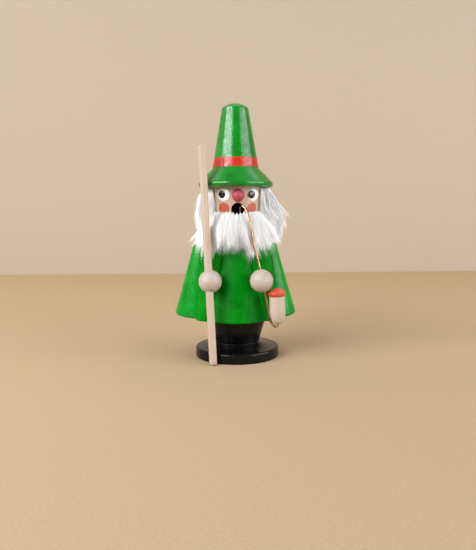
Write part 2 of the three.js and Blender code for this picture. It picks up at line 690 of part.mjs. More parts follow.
for (const side of [STAFF_HAND_SIDE, PIPE_HAND_SIDE]) {
  const sideName = side === STAFF_HAND_SIDE ? 'staff' : 'pipe';
  const armDowel = dowelEnds(ARM, side);
  const sleeveDowel = dowelEnds(SLEEVE, side);
  const handPeg = handPegEnds(side);
  const armHole = rodHole(...armDowel, DOWEL_RADIUS);
  const sleeveHole = rodHole(...sleeveDowel, DOWEL_RADIUS);
  const handHole = rodHole(...handPeg, HAND_PEG_RADIUS);
  coatHoles.push(armHole, sleeveHole);

  const arm = cutBy(limbForm(ARM, side, 0), [coatForm(GLUE_GAP), armHole, handHole]);
  const sleeve = cutBy(limbForm(SLEEVE, side, 0), [
    coatForm(GLUE_GAP),
    limbForm(ARM, side, GLUE_GAP),
    sleeveHole,
  ]);
  addNode(figure, `${sideName}_side_arm`, largestPiece(arm), finish.green);
  addNode(figure, `${sideName}_side_sleeve`, largestPiece(sleeve), finish.green);
  addNode(figure, `${sideName}_arm_dowel`, rod(...armDowel, DOWEL_RADIUS), finish.wood);
  addNode(figure, `${sideName}_sleeve_dowel`, rod(...sleeveDowel, DOWEL_RADIUS), finish.wood);

  const ball = new THREE.SphereGeometry(HAND_RADIUS, SMALL_TURNS, SMALL_TURNS / 2).rotateX(Math.PI / 2);
  ball.translate(...handMiddle[side].toArray());
  const held = side === STAFF_HAND_SIDE
    ? solidOf(staffForm(STAFF_SIDE + 2 * SLIP_GAP, STAFF_LENGTH, staffFoot))
    : wireForm(GLUE_GAP);
  const hand = cutBy(solidOf(ball), [limbForm(ARM, side, GLUE_GAP), handHole, held]);
  addNode(figure, `${sideName}_hand`, largestPiece(hand), finish.wood);
  addNode(figure, `${sideName}_hand_peg`, rod(...handPeg, HAND_PEG_RADIUS), finish.wood);
  addNode(figure, `${sideName}_side_hair`, hairFur(side), finish.fur);
}

addNode(figure, 'coat_body', cutBy(coatBody(), coatHoles), finish.green);
addNode(figure, 'head', head(), finish.wood);
addNode(figure, 'nose', nose(), finish.nose);
addNode(figure, 'hat', hat(), finish.green);
addNode(figure, 'beard_fur', beardFur(), finish.fur);
addNode(figure, 'pipe_wire', wireForm(0), finish.brass);
addNode(figure, 'pipe_bowl', pipeBowl(), finish.cream);
addNode(figure, 'pipe_lid', pipeLid(), finish.red);
addNode(figure, 'staff', staffForm(STAFF_SIDE, STAFF_LENGTH, staffFoot), finish.staffWood);
smoker.add(figure);

export default smoker;
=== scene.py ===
"""Looks of a turned wooden incense smoker figure: lacquer, bare wood, bent wire and white fur.

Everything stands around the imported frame, in metres, +Z up, with the front along -Y.
The staff side is -X and the pipe side is +X. Sizes written here are millimetres.
"""

import math

import bpy
import numpy as np
from mathutils import Matrix, Vector


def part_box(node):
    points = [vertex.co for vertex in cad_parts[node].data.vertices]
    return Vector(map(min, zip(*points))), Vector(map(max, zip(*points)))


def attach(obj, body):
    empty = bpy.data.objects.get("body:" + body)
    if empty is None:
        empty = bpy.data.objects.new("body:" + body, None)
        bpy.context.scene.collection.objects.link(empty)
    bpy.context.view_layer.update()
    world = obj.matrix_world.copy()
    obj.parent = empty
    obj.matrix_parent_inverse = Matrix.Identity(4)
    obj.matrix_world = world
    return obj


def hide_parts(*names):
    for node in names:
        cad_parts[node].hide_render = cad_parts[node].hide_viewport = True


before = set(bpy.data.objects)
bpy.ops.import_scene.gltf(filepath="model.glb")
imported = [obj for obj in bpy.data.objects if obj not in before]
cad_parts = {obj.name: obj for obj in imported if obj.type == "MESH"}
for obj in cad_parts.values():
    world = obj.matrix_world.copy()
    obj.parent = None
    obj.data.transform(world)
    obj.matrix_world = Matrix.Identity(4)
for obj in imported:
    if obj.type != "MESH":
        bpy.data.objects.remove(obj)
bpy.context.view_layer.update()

MM = 0.001
STAFF_HAND_SIDE = -1
PIPE_HAND_SIDE = 1
SIDE_NAMES = {STAFF_HAND_SIDE: "staff", PIPE_HAND_SIDE: "pipe"}


def low(node):
    """A node's lowest corner in millimetres."""
    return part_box(node)[0] / MM


def high(node):
    """A node's highest corner in millimetres."""
    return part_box(node)[1] / MM


def middle(node):
    """The middle of a node's box in millimetres."""
    return (low(node) + high(node)) / 2


# Fits between pieces
GLUE_GAP = 0.3
EDGE_ROUND = 0.35

# Foot and stem
BASE_RADIUS = high("base_disc").x
BASE_RIM_HEIGHT = 6.8
BASE_RIM_ROUND = 1.3
BASE_CHAMFER = 0.6
BASE_FLOOR = 3
COVE_LAND = 0.1
COVE_TURN_OUT = 1.2
COVE_TURN_UP = 0.5
STEM_FOOT_RADIUS = 15.4
STEM_TOP_RADIUS = high("leg_stem").x
STEM_TENON_RADIUS = 7
SPIGOT_RADIUS = 14.5
NAIL_RADIUS = 0.7
NAIL_HEAD_RADIUS = 2
NAIL_HEAD_HEIGHT = 0.8
NAIL_DEPTH = 8
NAIL_EDGE = 0.1
NAIL_TIP_ROUND = 0.2
PLATE_RADIUS = high("incense_plate").x
PLATE_SHEET = 0.6
PLATE_ROUND = 0.28

# Coat with the smoke chamber
COAT_HEM_RADIUS = high("coat_body").x
COAT_HEM_ROUND = 1
COAT_SHOULDER_RADIUS = 13.6
COAT_SHOULDER_HEIGHT = 49.3
COAT_NECK_RADIUS = 10.5
CHAMBER_FOOT = 1.2
CHAMBER_TOP_RADIUS = 5.5
CHAMBER_ROOF = 5
SMOKE_BORE_RADIUS = 3.4

# Arms and sleeves: leaning cones with a domed shoulder
ARM = {
    "foot": (20.4, -7), "top": (14.9, -8.2), "shift": 0, "foot_radius": 7.8, "shoulder_radius": 7.5,
    "shoulder_height": 46, "height": 52.3, "lift": 0.06, "hem_rise": 0.3, "hem_round": 1,
}
SLEEVE = {
    "foot": (26.9, 9), "top": (22.6, 2.6), "shift": -1, "foot_radius": 16, "shoulder_radius": 6.4,
    "shoulder_height": 47.3, "height": 54.3, "lift": 0.12, "hem_rise": 1.9, "hem_round": 1.7,
}
LIMB_SINK = 0.5

# Hands and staff
HAND_RADIUS = 7.5
STAFF_SIDE = 4
STAFF_TURN = 25
STAFF_EDGE = 0.4
STAFF_SLIP = 0.15
STAFF_WORN = 0.3
STAFF_SHARP_ANGLE = 50
STAFF_WAVES = [(0.008, 21, 0), (0.006, 47, 1)]

# Head, face and hat
HEAD_TOP_RADIUS = 16.6
HEAD_CHIN_RADIUS = 14.2
HEAD_CHIN_ROUND = 3
HEAD_TENON_RADIUS = 6
FACE_TURN = 5
MOUTH_RADIUS = 4.4
MOUTH_HEIGHT = 18.1
MOUTH_PAINT_DEPTH = 0.25
MOUTH_PAINT_ROOM = 0.1
BORE_PAINT_ROOM = 0.05
BORE_OVERRUN = 5
NOSE_RADIUS = 4.1
NOSE_HEIGHT = 27
NOSE_STANDS_OUT = 1
EYE_TURN = 8.5
EYE_AZIMUTH = 38.5
EYE_HEIGHT = 27.8
EYE_SIZE = (5, 4.4)
EYE_RISE = 0.8
PUPIL_SIZE = (2.7, 2.6)
PUPIL_SHIFT = {STAFF_HAND_SIDE: (-0.9, 0.1), PIPE_HAND_SIDE: (-2.2, -0.1)}
PUPIL_RISE = 0.7
PUPIL_SINK = 0.15
CHEEK_TURN = 6.8
CHEEK_AZIMUTH = 37.5
CHEEK_HEIGHT = 19
CHEEK_SIZE = (4.2, 3.5)
CHEEK_RISE = 0.1
HAT_TENON_RADIUS = 9
HAT_TENON_LENGTH = 8
BRIM_RADIUS = high("hat").x
BRIM_EDGE_ROUND = 2.3
BRIM_DROP = 1.8
BRIM_RISE = 11.3
BRIM_EDGE_END = 50
HAT_NECK_RADIUS = 15.6
HAT_NECK_ROUND = 1.2
HAT_CONE_HEIGHT = 38.9
HAT_TOP_RADIUS = 8.8
HAT_TOP_ROUND = 0.4
HAT_TOP_CORNER_UP = 0.5
HAT_TOP_AIM_UP = 0.8
HAT_DOME_HEIGHT = 3.6
HAT_CROWN_FULLNESS = 0.58
BAND_HEIGHT = 6.2
BAND_SHEET = 0.1
BAND_ABOVE_NECK = 0.35

# Pipe
WIRE_RADIUS = 0.75
WIRE_IN_BOWL = 4
WIRE_AT_BOWL_FOOT = 0.2
BOWL_X = 27
BOWL_Y = -22
BOWL_FOOT_ABOVE_HEM = 0.2
BOWL_HEIGHT = 18
BOWL_RADIUS = 5.25
BOWL_FOOT_RADIUS = 1.6
BOWL_BELLY_HEIGHT = 8
BOWL_NECK_RADIUS = 5.05
BOWL_TILT = 2.5
BOWL_FOOT_TURN = (0.35, 0.3)
LID_RADIUS = 6
LID_SEAT_RADIUS = 5.2
LID_EDGE_HEIGHT = 2.2
LID_HEIGHT = 5
LID_DOME_FULLNESS = 0.62
LID_SPIGOT_RADIUS = 2
LID_SPIGOT_LENGTH = 3
LID_EDGE_TURN = (0.2, 0.8)

# Fineness
TURNS = 128
SMALL_TURNS = 64
ROUND_STEPS = 10
CORNER_STEPS = 5
DAB_RINGS = 8
DAB_MIDDLE = 0.12
DAB_FULLNESS = 2.6
STAFF_STEPS = 60
HEAD_TURNS = 192
WIDE_STEP = 2.5
FINE_STEP = 1.2
PLATE_STEP = 1.5
MIDDLE_STEP = 2
COARSE_STEP = 4
CORNER_SHARE = 0.45
CUT_SHARP_ANGLE = 32
WIRE_STEPS = 320
WIRE_SIDES = 20
ON_AXIS = 1e-6
TOO_SHORT = 1e-9

# Heights of the seats, taken from the frame
hem = low("coat_body").z
coat_top = high("coat_body").z
base_top = high("base_disc").z
stem_foot = base_top + GLUE_GAP
stem_top = hem - GLUE_GAP
spigot_top = high("leg_stem").z
plate_seat = low("incense_plate").z
plate_lip = high("incense_plate").z
head_foot = coat_top + GLUE_GAP
head_top = high("head").z - HAT_TENON_LENGTH
hat_seat = head_top + GLUE_GAP
hat_neck = hat_seat + BRIM_RISE
hat_cone_top = hat_neck + HAT_CONE_HEIGHT
brim_middle = hat_seat - BRIM_DROP + BRIM_EDGE_ROUND
mouth_z = head_foot + MOUTH_HEIGHT
nose_z = head_foot + NOSE_HEIGHT


# Outlines of radius and height

def arc(centre, radius, start, end, steps=ROUND_STEPS):
    """Points of a round or oval arc between two angles in degrees. An oval has a pair of radii."""
    across, up = radius if isinstance(radius, tuple) else (radius, radius)
    angles = np.radians(np.linspace(start, end, steps + 1))
    return [(centre[0] + across * math.cos(a), centre[1] + up * math.sin(a)) for a in angles]


def bend(start, control, end, steps=ROUND_STEPS):
    """Points of a curve that leaves start towards control and reaches end from it."""
    a, b, c = (np.array(p, float) for p in (start, control, end))
    shares = np.linspace(0, 1, steps + 1)
    return [tuple(a * (1 - t) ** 2 + b * 2 * t * (1 - t) + c * t * t) for t in shares]


def rounded_corner(before, corner, after, radius):
    """The arc that takes the place of a corner, with a point on each side to hold the flats flat."""
    corner = np.array(corner, float)
    back = np.array(before, float) - corner
    on = np.array(after, float) - corner
    back_length = np.linalg.norm(back)
    on_length = np.linalg.norm(on)
    back /= back_length
    on /= on_length
    half = math.acos(float(np.clip(back @ on, -1, 1))) / 2
    reach = min(radius / math.tan(half), CORNER_SHARE * back_length, CORNER_SHARE * on_length)
    start = corner + back * reach
    end = corner + on * reach
    return [tuple(p) for p in bend(start, corner, end, CORNER_STEPS)]


def rounded(corners, radius=EDGE_ROUND):
    """An outline through its corners, each one but the two ends rounded off."""
    points = [tuple(corners[0])]
    for before, corner, after in zip(corners, corners[1:], corners[2:]):
        points += rounded_corner(before, corner, after, radius)
    return points + [tuple(corners[-1])]


def filled(outline, longest):
    """The outline with long straight stretches cut into shorter ones."""
    points = [outline[0]]
    for start, end in zip(outline, outline[1:]):
        pieces = max(1, math.ceil(math.dist(start, end) / longest))
        for i in range(1, pieces + 1):
            share = i / pieces
            points.append(tuple(s + (e - s) * share for s, e in zip(start, end)))
    return points


# Meshes

def strip(below, above):
    """Faces between two rings, either of which may be a single point. Two points have none."""
    count = max(len(below), len(above))
    faces = []
    if count == 1:
        return faces
    for i in range(count):
        j = (i + 1) % count
        if len(below) == 1:
            faces.append((below[0], above[j], above[i]))
        elif len(above) == 1:
            faces.append((below[i], below[j], above[0]))
        else:
            faces.append((below[i], below[j], above[j], above[i]))
    return faces


def turned(outline, turns=TURNS, closed=False):
    """Vertices and faces of an outline turned about Z. A closed one joins its end to its start."""
    angles = np.linspace(0, 2 * math.pi, turns, endpoint=False)
    verts = []
    rings = []
    for radius, height in outline:
        first = len(verts)
        if radius < ON_AXIS:
            verts.append((0, 0, height))
        else:
            verts += [(radius * math.cos(a), radius * math.sin(a), height) for a in angles]
        rings.append(list(range(first, len(verts))))
    if closed:
        rings.append(rings[0])
    faces = []
    for below, above in zip(rings, rings[1:]):
        faces += strip(below, above)
    return np.array(verts, float), faces


def lofted(rings):
    """Vertices and faces of a tube through rings of points, closed at both ends."""
    count = len(rings[0])
    verts = np.concatenate(rings)
    faces = [tuple(range(count - 1, -1, -1))]
    for row in range(len(rings) - 1):
        below = list(range(row * count, (row + 1) * count))
        above = [i + count for i in below]
        faces += strip(below, above)
    faces.append(tuple(range(len(verts) - count, len(verts))))
    return verts, faces


def new_object(name, data):
    """An object in the scene."""
    thing = bpy.data.objects.new(name, data)
    bpy.context.scene.collection.objects.link(thing)
    return thing


def mesh_object(name, verts, faces):
    """A smooth object from vertices in millimetres."""
    mesh = bpy.data.meshes.new(name)
    mesh.from_pydata((np.asarray(verts) * MM).tolist(), [], faces)
    mesh.shade_smooth()
    return new_object(name, mesh)


def dress(piece, body, slot, materials, replaced=()):
    """Gives a piece its finish and its body, and hides the CAD nodes that it stands for."""
    for material in materials:
        piece.data.materials.append(material)
    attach(piece, body)
    if replaced:
        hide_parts(*replaced)
    return piece


def make(name, shape, *looks):
    """A dressed piece from its vertices and faces."""
    return dress(mesh_object(name, *shape), *looks)


def cut_away(piece, cutters):
    """Cuts the cutters out of a piece and removes them."""
    for cutter in cutters:
        tool = piece.modifiers.new("cut", "BOOLEAN")
        tool.operation = "DIFFERENCE"
        tool.solver = "EXACT"
        tool.object = cutter
    depsgraph = bpy.context.evaluated_depsgraph_get()
    mesh = bpy.data.meshes.new_from_object(piece.evaluated_get(depsgraph))
    piece.modifiers.clear()
    old = piece.data
    piece.data = mesh
    bpy.data.meshes.remove(old)
    for cutter in cutters:
        bpy.data.objects.remove(cutter)
    mesh.shade_smooth()
    mesh.set_sharp_from_angle(angle=math.radians(CUT_SHARP_ANGLE))


def paint_rows(piece, rows):
    """Sets each turned row of faces to a material index."""
    piece.data.polygons.foreach_set("material_index", np.repeat(rows, TURNS).astype(np.int32))


def at_azimuth(degrees, radius, height):
    """A point at an angle from the front, positive towards the pipe side."""
    angle = math.radians(degrees)
    return np.array((radius * math.sin(angle), -radius * math.cos(angle), height))


def unit(vectors):
    """The same directions at length one."""
    return vectors / np.maximum(np.linalg.norm(vectors, axis=-1, keepdims=True), TOO_SHORT)


def mixed(first, second, share):
    return first + (second - first) * share


def waves(value, terms):
    """A sum of sine waves, each with its size, how often it comes and its shift."""
    return sum(size * np.sin(often * value + shift) for size, often, shift in terms)


# Shader nodes

# How much brighter than itself a colour shows in the studio's light
LIGHT_LEVEL = 1.6


def tint(red, green, blue, level=LIGHT_LEVEL):
    """The paint for a colour written as it shows on screen in the studio's light, from 0 to 255."""
    def light(value):
        share = value / 255
        return (share / 12.92 if share <= 0.04045 else ((share + 0.055) / 1.055) ** 2.4) / level
    return (light(red), light(green), light(blue), 1)


class Finish:
    """A material with a Principled shader and short ways to add nodes."""

    def __init__(self, name, **constants):
        self.material = bpy.data.materials.new(name)
        self.material.use_nodes = True
        self.tree = self.material.node_tree
        self.shader = self.tree.nodes["Principled BSDF"]
        for socket, value in constants.items():
            self.shader.inputs[socket.replace("_", " ")].default_value = value
        self.place = self.add("ShaderNodeTexCoord").outputs["Object"]

    def add(self, kind, settings=None, **inputs):
        node = self.tree.nodes.new(kind)
        for name, value in (settings or {}).items():
            setattr(node, name, value)
        for name, value in inputs.items():
            self.put(node.inputs[name.replace("_", " ")], value)
        return node

    def put(self, socket, value):
        if isinstance(value, bpy.types.NodeSocket):
            self.tree.links.new(value, socket)
        else:
            socket.default_value = value

    def stretched(self, x, y, z):
        """The piece's own coordinates, scaled by one number for each axis."""
        return self.add("ShaderNodeMapping", Vector=self.place, Scale=(x, y, z)).outputs["Vector"]

    def noise(self, place, scale=1.0, detail=2.0, roughness=0.5, distortion=0.0):
        return self.add(
            "ShaderNodeTexNoise",
            Vector=place,
            Scale=scale,
            Detail=detail,
            Roughness=roughness,
            Distortion=distortion,
        ).outputs["Fac"]

    def ramp(self, factor, stops):
        """Colours over a factor. Each stop is a place and a colour."""
        node = self.add("ShaderNodeValToRGB", Fac=factor)
        line = node.color_ramp.elements
        while len(line) < len(stops):
            line.new(1)
        for element, (place, colour) in zip(line, stops):
            element.position = place
            element.color = colour
        return node.outputs["Color"]

    def spread(self, value, low_in, high_in, low_out, high_out):
        node = self.add("ShaderNodeMapRange", Value=value)
        for socket, number in zip(node.inputs[1:5], (low_in, high_in, low_out, high_out)):
            socket.default_value = number
        return node.outputs["Result"]

    def math(self, operation, first, second):
        node = self.add("ShaderNodeMath", {"operation": operation})
        self.put(node.inputs[0], first)
        self.put(node.inputs[1], second)
        return node.outputs["Value"]

    def weighed(self, first, share, second, other_share):
        """The sum of two values, each taken by its share."""
        one = self.math("MULTIPLY", first, share)
        other = self.math("MULTIPLY", second, other_share)
        return self.math("ADD", one, other)

    def mix(self, factor, first, second):
        node = self.add("ShaderNodeMix", {"data_type": "RGBA"})
        self.put(node.inputs[0], factor)
        self.put(node.inputs[6], first)
        self.put(node.inputs[7], second)
        return node.outputs[2]

    def bump(self, height, strength, depth):
        node = self.add("ShaderNodeBump", Height=height, Strength=strength, Distance=depth * MM)
        return node.outputs["Normal"]

    def set(self, **sockets):
        for name, value in sockets.items():
            self.put(self.shader.inputs[name.replace("_", " ")], value)
        return self.material


def lacquer(name, deep, full, shine, rough, speckle):
    """Coloured lacquer over turned wood: fibres and pores show through in colour and gloss."""
    finish = Finish(name, IOR=shine)
    streaks = finish.noise(finish.stretched(1500, 1500, 130), detail=4, roughness=0.6)
    pores = finish.noise(finish.stretched(1500, 1500, 750), detail=2)
    clouds = finish.noise(finish.place, scale=70, detail=2)
    veins = finish.weighed(streaks, 0.25, pores, 0.25)
    tone = finish.math("ADD", veins, finish.math("MULTIPLY", clouds, 0.5))
    height = finish.math("ADD", finish.math("MULTIPLY", streaks, 0.5), pores)
    return finish.set(
        Base_Color=finish.ramp(tone, [(0.38, deep), (0.62, full)]),
        Roughness=finish.spread(pores, 0.36, 0.64, rough - 0.1, rough + 0.05 + 0.12 * speckle),
        Specular_IOR_Level=finish.spread(pores, 0.38, 0.62, 0.5 + 0.45 * speckle, 0.5 - 0.45 * speckle),
        Normal=finish.bump(height, 0.24 * speckle, 0.3),
    )


def bare_wood(name, pale, full, rays, along):
    """Sanded bare wood, drawn out along its grain: fibres, growth bands and short dark rays."""
    finish = Finish(name)
    grain = np.array(along)
    fibres = finish.noise(finish.stretched(*(900 * grain)), detail=5, roughness=0.6)
    bands = finish.noise(finish.stretched(*(190 * grain)), detail=2, distortion=0.6)
    flecks = finish.noise(finish.stretched(*(2600 * grain)), detail=2)
    tone = finish.weighed(fibres, 0.4, bands, 0.6)
    colour = finish.ramp(tone, [(0.34, tint(*full)), (0.62, tint(*pale))])
    shade = finish.spread(flecks, 0.62, 0.74, 0, 0.4)
    return finish.set(
        Base_Color=finish.mix(shade, colour, tint(*rays)),
        Roughness=finish.spread(fibres, 0.3, 0.7, 0.44, 0.6),
        Normal=finish.bump(fibres, 0.18, 0.1),
    )


GREEN = lacquer("green_lacquer", tint(0, 116, 8), tint(0, 164, 34), 1.5, 0.22, 0.45)
# Painted light: the sleeves' green is painted lighter than the hat's and the coat's, for the light they
# catch; its gloss differs too
SLEEVE_GREEN_PAINTED_LIGHTER = lacquer("sleeve_lacquer_painted_lighter", tint(0, 132, 14), tint(0, 184, 50), 1.31, 0.27, 0.7)
COAT_GREEN = lacquer("coat_lacquer", tint(0, 114, 4), tint(0, 164, 26), 1.16, 0.45, 1)
BLACK = lacquer("black_lacquer", tint(8, 7, 7), tint(16, 15, 14), 1.3, 0.26, 0.05)
RED = lacquer("red_lacquer", tint(204, 42, 22), tint(236, 66, 42), 1.45, 0.22, 0.8)
LID_RED = lacquer("lid_lacquer", tint(226, 80, 52), tint(246, 106, 76), 1.45, 0.4, 0.05)
NOSE_RED = lacquer("nose_lacquer", tint(190, 58, 76), tint(214, 84, 100), 1.45, 0.5, 0.05)
EYE_WHITE = lacquer("eye_white", tint(236, 236, 236, 1), tint(246, 246, 246, 1), 1.5, 0.38, 0.05)
PUPIL_BLACK = lacquer("pupil_black", tint(10, 11, 13), tint(20, 21, 24), 1.6, 0.14, 0.02)
HEAD_WOOD = bare_wood("head_wood", (236, 206, 180), (223, 188, 159), (201, 159, 127), (1, 1, 0.1))
HAND_WOOD = bare_wood("hand_wood", (219, 200, 183), (204, 181, 161), (182, 145, 123), (1, 0.12, 1))
BOWL_WOOD = bare_wood("bowl_wood", (226, 205, 182), (211, 186, 159), (191, 157, 124), (1, 1, 0.08))
STAFF_WOOD = bare_wood("staff_wood", (230, 205, 181), (214, 182, 153), (188, 146, 115), (1, 1, 0.03))
PEG_WOOD = bare_wood("peg_wood", (228, 204, 172), (206, 176, 140), (170, 130, 94), (0.1, 0.1, 1))


def cheek_paint():
    """Thin dry paint that lets the wood's fibres through."""
    finish = Finish("cheek_paint", IOR=1.45)
    fibres = finish.noise(finish.stretched(1400, 1400, 120), detail=4, roughness=0.65)
    blots = finish.noise(finish.place, scale=420, detail=3)
    tone = finish.weighed(fibres, 0.5, blots, 0.5)
    return finish.set(
        Base_Color=finish.ramp(tone, [(0.36, tint(216, 82, 62)), (0.64, tint(236, 112, 88))]),
        Roughness=finish.spread(blots, 0.3, 0.7, 0.44, 0.6),
        Normal=finish.bump(fibres, 0.14, 0.08),
    )


def sooty_wood():
    """Bored wood, browned by smoke."""
    finish = Finish("sooty_wood")
    rings = finish.noise(finish.stretched(240, 240, 2400), detail=3, roughness=0.6)
    smoke = finish.noise(finish.place, scale=120, detail=4)
    tone = finish.weighed(rings, 0.35, smoke, 0.65)
    browns = [(0.34, tint(22, 17, 13)), (0.6, tint(58, 44, 32)), (0.72, tint(104, 80, 56))]
    return finish.set(
        Base_Color=finish.ramp(tone, browns),
        Roughness=finish.spread(smoke, 0.3, 0.7, 0.68, 0.88),
        Normal=finish.bump(rings, 0.3, 0.15),
    )


def mouth_painted_shade():
    """Painted shade: matt black that darkens the mouth's bore and the smoke bore behind it."""
    finish = Finish("mouth_painted_shade")
    fibres = finish.noise(finish.stretched(1200, 300, 1200), detail=3)
    return finish.set(
        Base_Color=finish.ramp(fibres, [(0.3, tint(10, 9, 8)), (0.7, tint(26, 22, 20))]),
        Roughness=finish.spread(fibres, 0.3, 0.7, 0.6, 0.78),
        Normal=finish.bump(fibres, 0.2, 0.1),
    )


def metal(name, dark, bright, rough, brushed, varnish=0.0):
    """Drawn or pressed metal with fine lines and a little tarnish, varnished or bare."""
    finish = Finish(name, Metallic=1, Coat_Weight=varnish, Coat_Roughness=0.12)
    lines = finish.noise(finish.stretched(*brushed), detail=3, roughness=0.6)
    tarnish = finish.noise(finish.place, scale=260, detail=4, roughness=0.6)
    tone = finish.weighed(lines, 0.3, tarnish, 0.7)
    return finish.set(
        Base_Color=finish.ramp(tone, [(0.36, dark), (0.62, bright)]),
        Roughness=finish.spread(tone, 0.3, 0.7, rough + 0.14, rough - 0.06),
        Normal=finish.bump(lines, 0.08, 0.05),
    )


SOOT = sooty_wood()
MOUTH_PAINTED_SHADE = mouth_painted_shade()
CHEEK = cheek_paint()
COPPER = metal("copper_wire", tint(124, 94, 67, 1), tint(192, 159, 121, 1), 0.22, (2600, 2600, 300), 0.6)
BRASS = metal("plate_brass", tint(120, 92, 50), tint(206, 172, 104), 0.34, (900, 900, 2600))
STEEL = metal("nail_steel", tint(120, 118, 114), tint(196, 196, 194), 0.34, (1800, 1800, 400))


# Foot, stem, plate and nail

def base_disc():
    cove = STEM_FOOT_RADIUS + COVE_LAND
    socket = STEM_TENON_RADIUS + GLUE_GAP
    rim_inside = BASE_RADIUS - BASE_RIM_ROUND
    rim_top = BASE_RIM_HEIGHT - BASE_RIM_ROUND
    side = rounded([(0, 0), (BASE_RADIUS, 0), (BASE_RADIUS, rim_top)], BASE_CHAMFER)[:-1]
    outline = filled(side, BASE_RADIUS / 4)
    outline += arc((rim_inside, rim_top), BASE_RIM_ROUND, 0, 90)
    cove_turn = (cove + COVE_TURN_OUT, BASE_RIM_HEIGHT + COVE_TURN_UP)
    outline += bend((rim_inside, BASE_RIM_HEIGHT), cove_turn, (cove, base_top), 2 * ROUND_STEPS)[1:-1]
    land = [(cove, base_top - EDGE_ROUND), (cove, base_top), (socket, base_top), (socket, BASE_FLOOR)]
    outline += rounded(land)
    outline.append((0, BASE_FLOOR))
    make("turned_base_disc", turned(outline), "base", "black_lacquer", [BLACK], ["base_disc"])


def leg_stem():
    tenon_foot = BASE_FLOOR + GLUE_GAP
    nail_hole = NAIL_RADIUS + GLUE_GAP
    corners = [
        (0, tenon_foot), (STEM_TENON_RADIUS, tenon_foot), (STEM_TENON_RADIUS, stem_foot),
        (STEM_FOOT_RADIUS, stem_foot), (STEM_TOP_RADIUS, stem_top), (SPIGOT_RADIUS, stem_top),
        (SPIGOT_RADIUS, spigot_top), (nail_hole, spigot_top), (nail_hole, spigot_top - NAIL_DEPTH),
        (0, spigot_top - NAIL_DEPTH),
    ]
    outline = filled(rounded(corners), WIDE_STEP)
    widest = SPIGOT_RADIUS + ON_AXIS
    spigot_rows = [radius < widest and height > stem_top for radius, height in outline[:-1]]
    shape = turned(outline)
    piece = make("turned_leg_stem", shape, "base", "black_lacquer", [BLACK, PEG_WOOD], ["leg_stem"])
    paint_rows(piece, spigot_rows)


def incense_plate():
    hole = NAIL_RADIUS + GLUE_GAP
    floor = plate_seat + PLATE_SHEET
    inside = PLATE_RADIUS - PLATE_SHEET
    corners = [
        ((hole + PLATE_RADIUS) / 2, plate_seat), (PLATE_RADIUS, plate_seat),
        (PLATE_RADIUS, plate_lip), (inside, plate_lip), (inside, floor), (hole, floor),
        (hole, plate_seat), ((hole + PLATE_RADIUS) / 2, plate_seat),
    ]
    outline = filled(rounded(corners, PLATE_ROUND), PLATE_STEP)[:-1]
    shape = turned(outline, closed=True)
    make("pressed_incense_plate", shape, "burner_plate", "plate_brass", [BRASS], ["incense_plate"])


def plate_nail():
    head_seat = plate_seat + PLATE_SHEET + GLUE_GAP
    tip = spigot_top - NAIL_DEPTH + GLUE_GAP
    shank = [(0, tip), (NAIL_RADIUS, tip + NAIL_RADIUS), (NAIL_RADIUS, head_seat)]
    outline = rounded(shank, NAIL_TIP_ROUND)[:-1]
    outline.append((NAIL_RADIUS, head_seat - NAIL_EDGE))
    outline.append((NAIL_RADIUS + NAIL_EDGE, head_seat))
    outline.append((NAIL_HEAD_RADIUS - NAIL_EDGE, head_seat))
    head_size = (NAIL_HEAD_RADIUS, NAIL_HEAD_HEIGHT - NAIL_EDGE)
    outline += arc((0, head_seat + NAIL_EDGE), head_size, 0, 90)[:-1]
    outline.append((0, head_seat + NAIL_HEAD_HEIGHT))
    make("domed_plate_nail", turned(outline, SMALL_TURNS), "base", "nail_steel", [STEEL], ["plate_nail"])


# Coat, arms and sleeves

def coat_radius(z):
    """The coat's outer radius at a height, with the shoulder's curve above the cone."""
    above = np.asarray(z, float) - hem
    cone = COAT_HEM_RADIUS + (COAT_SHOULDER_RADIUS - COAT_HEM_RADIUS) * above / COAT_SHOULDER_HEIGHT
    rise = np.clip((above - COAT_SHOULDER_HEIGHT) / (coat_top - hem - COAT_SHOULDER_HEIGHT), 0, 1)
    share = 1 - np.sqrt(1 - rise)
    shoulder = COAT_SHOULDER_RADIUS - (COAT_SHOULDER_RADIUS - COAT_NECK_RADIUS) * share * share
    return np.where(above <= COAT_SHOULDER_HEIGHT, cone, np.where(above <= coat_top - hem, shoulder, 0))


def coat_body():
    shoulder = (COAT_SHOULDER_RADIUS, hem + COAT_SHOULDER_HEIGHT)
    socket = SPIGOT_RADIUS + GLUE_GAP
    head_socket = HEAD_TENON_RADIUS + GLUE_GAP
    head_socket_floor = low("head").z - GLUE_GAP
    chamber_top = head_socket_floor - CHAMBER_ROOF
    lower = [(socket, hem + COAT_HEM_ROUND), (socket, hem), (COAT_HEM_RADIUS, hem)]
    lower = rounded(lower + [shoulder], COAT_HEM_ROUND)[1:-1]
    neck = bend(shoulder, (COAT_SHOULDER_RADIUS, coat_top), (COAT_NECK_RADIUS, coat_top))
    outside = filled(lower + [shoulder], WIDE_STEP) + neck[1:]
    inside = rounded([
        (COAT_NECK_RADIUS, coat_top), (head_socket, coat_top), (head_socket, head_socket_floor),
        (SMOKE_BORE_RADIUS, head_socket_floor), (SMOKE_BORE_RADIUS, chamber_top),
        (CHAMBER_TOP_RADIUS, chamber_top), (socket, spigot_top + CHAMBER_FOOT),
        (socket, hem + 2 * COAT_HEM_ROUND),
    ])[1:]
    inside = filled(inside, COARSE_STEP)
    shape = turned(outside + inside, closed=True)
    piece = make("turned_coat_body", shape, "figure", "green_lacquer", [COAT_GREEN, SOOT], ["coat_body"])
    paint_rows(piece, [0] * len(outside) + [1] * len(inside))


def limb_middle(limb, side, above):
    """The middle of an arm or sleeve at heights above the hem, as x and y."""
    share = np.asarray(above, float) / limb["height"]
    x = side * mixed(limb["foot"][0], limb["top"][0], share) + limb["shift"]
    y = mixed(limb["foot"][1], limb["top"][1], share)
    return x, y


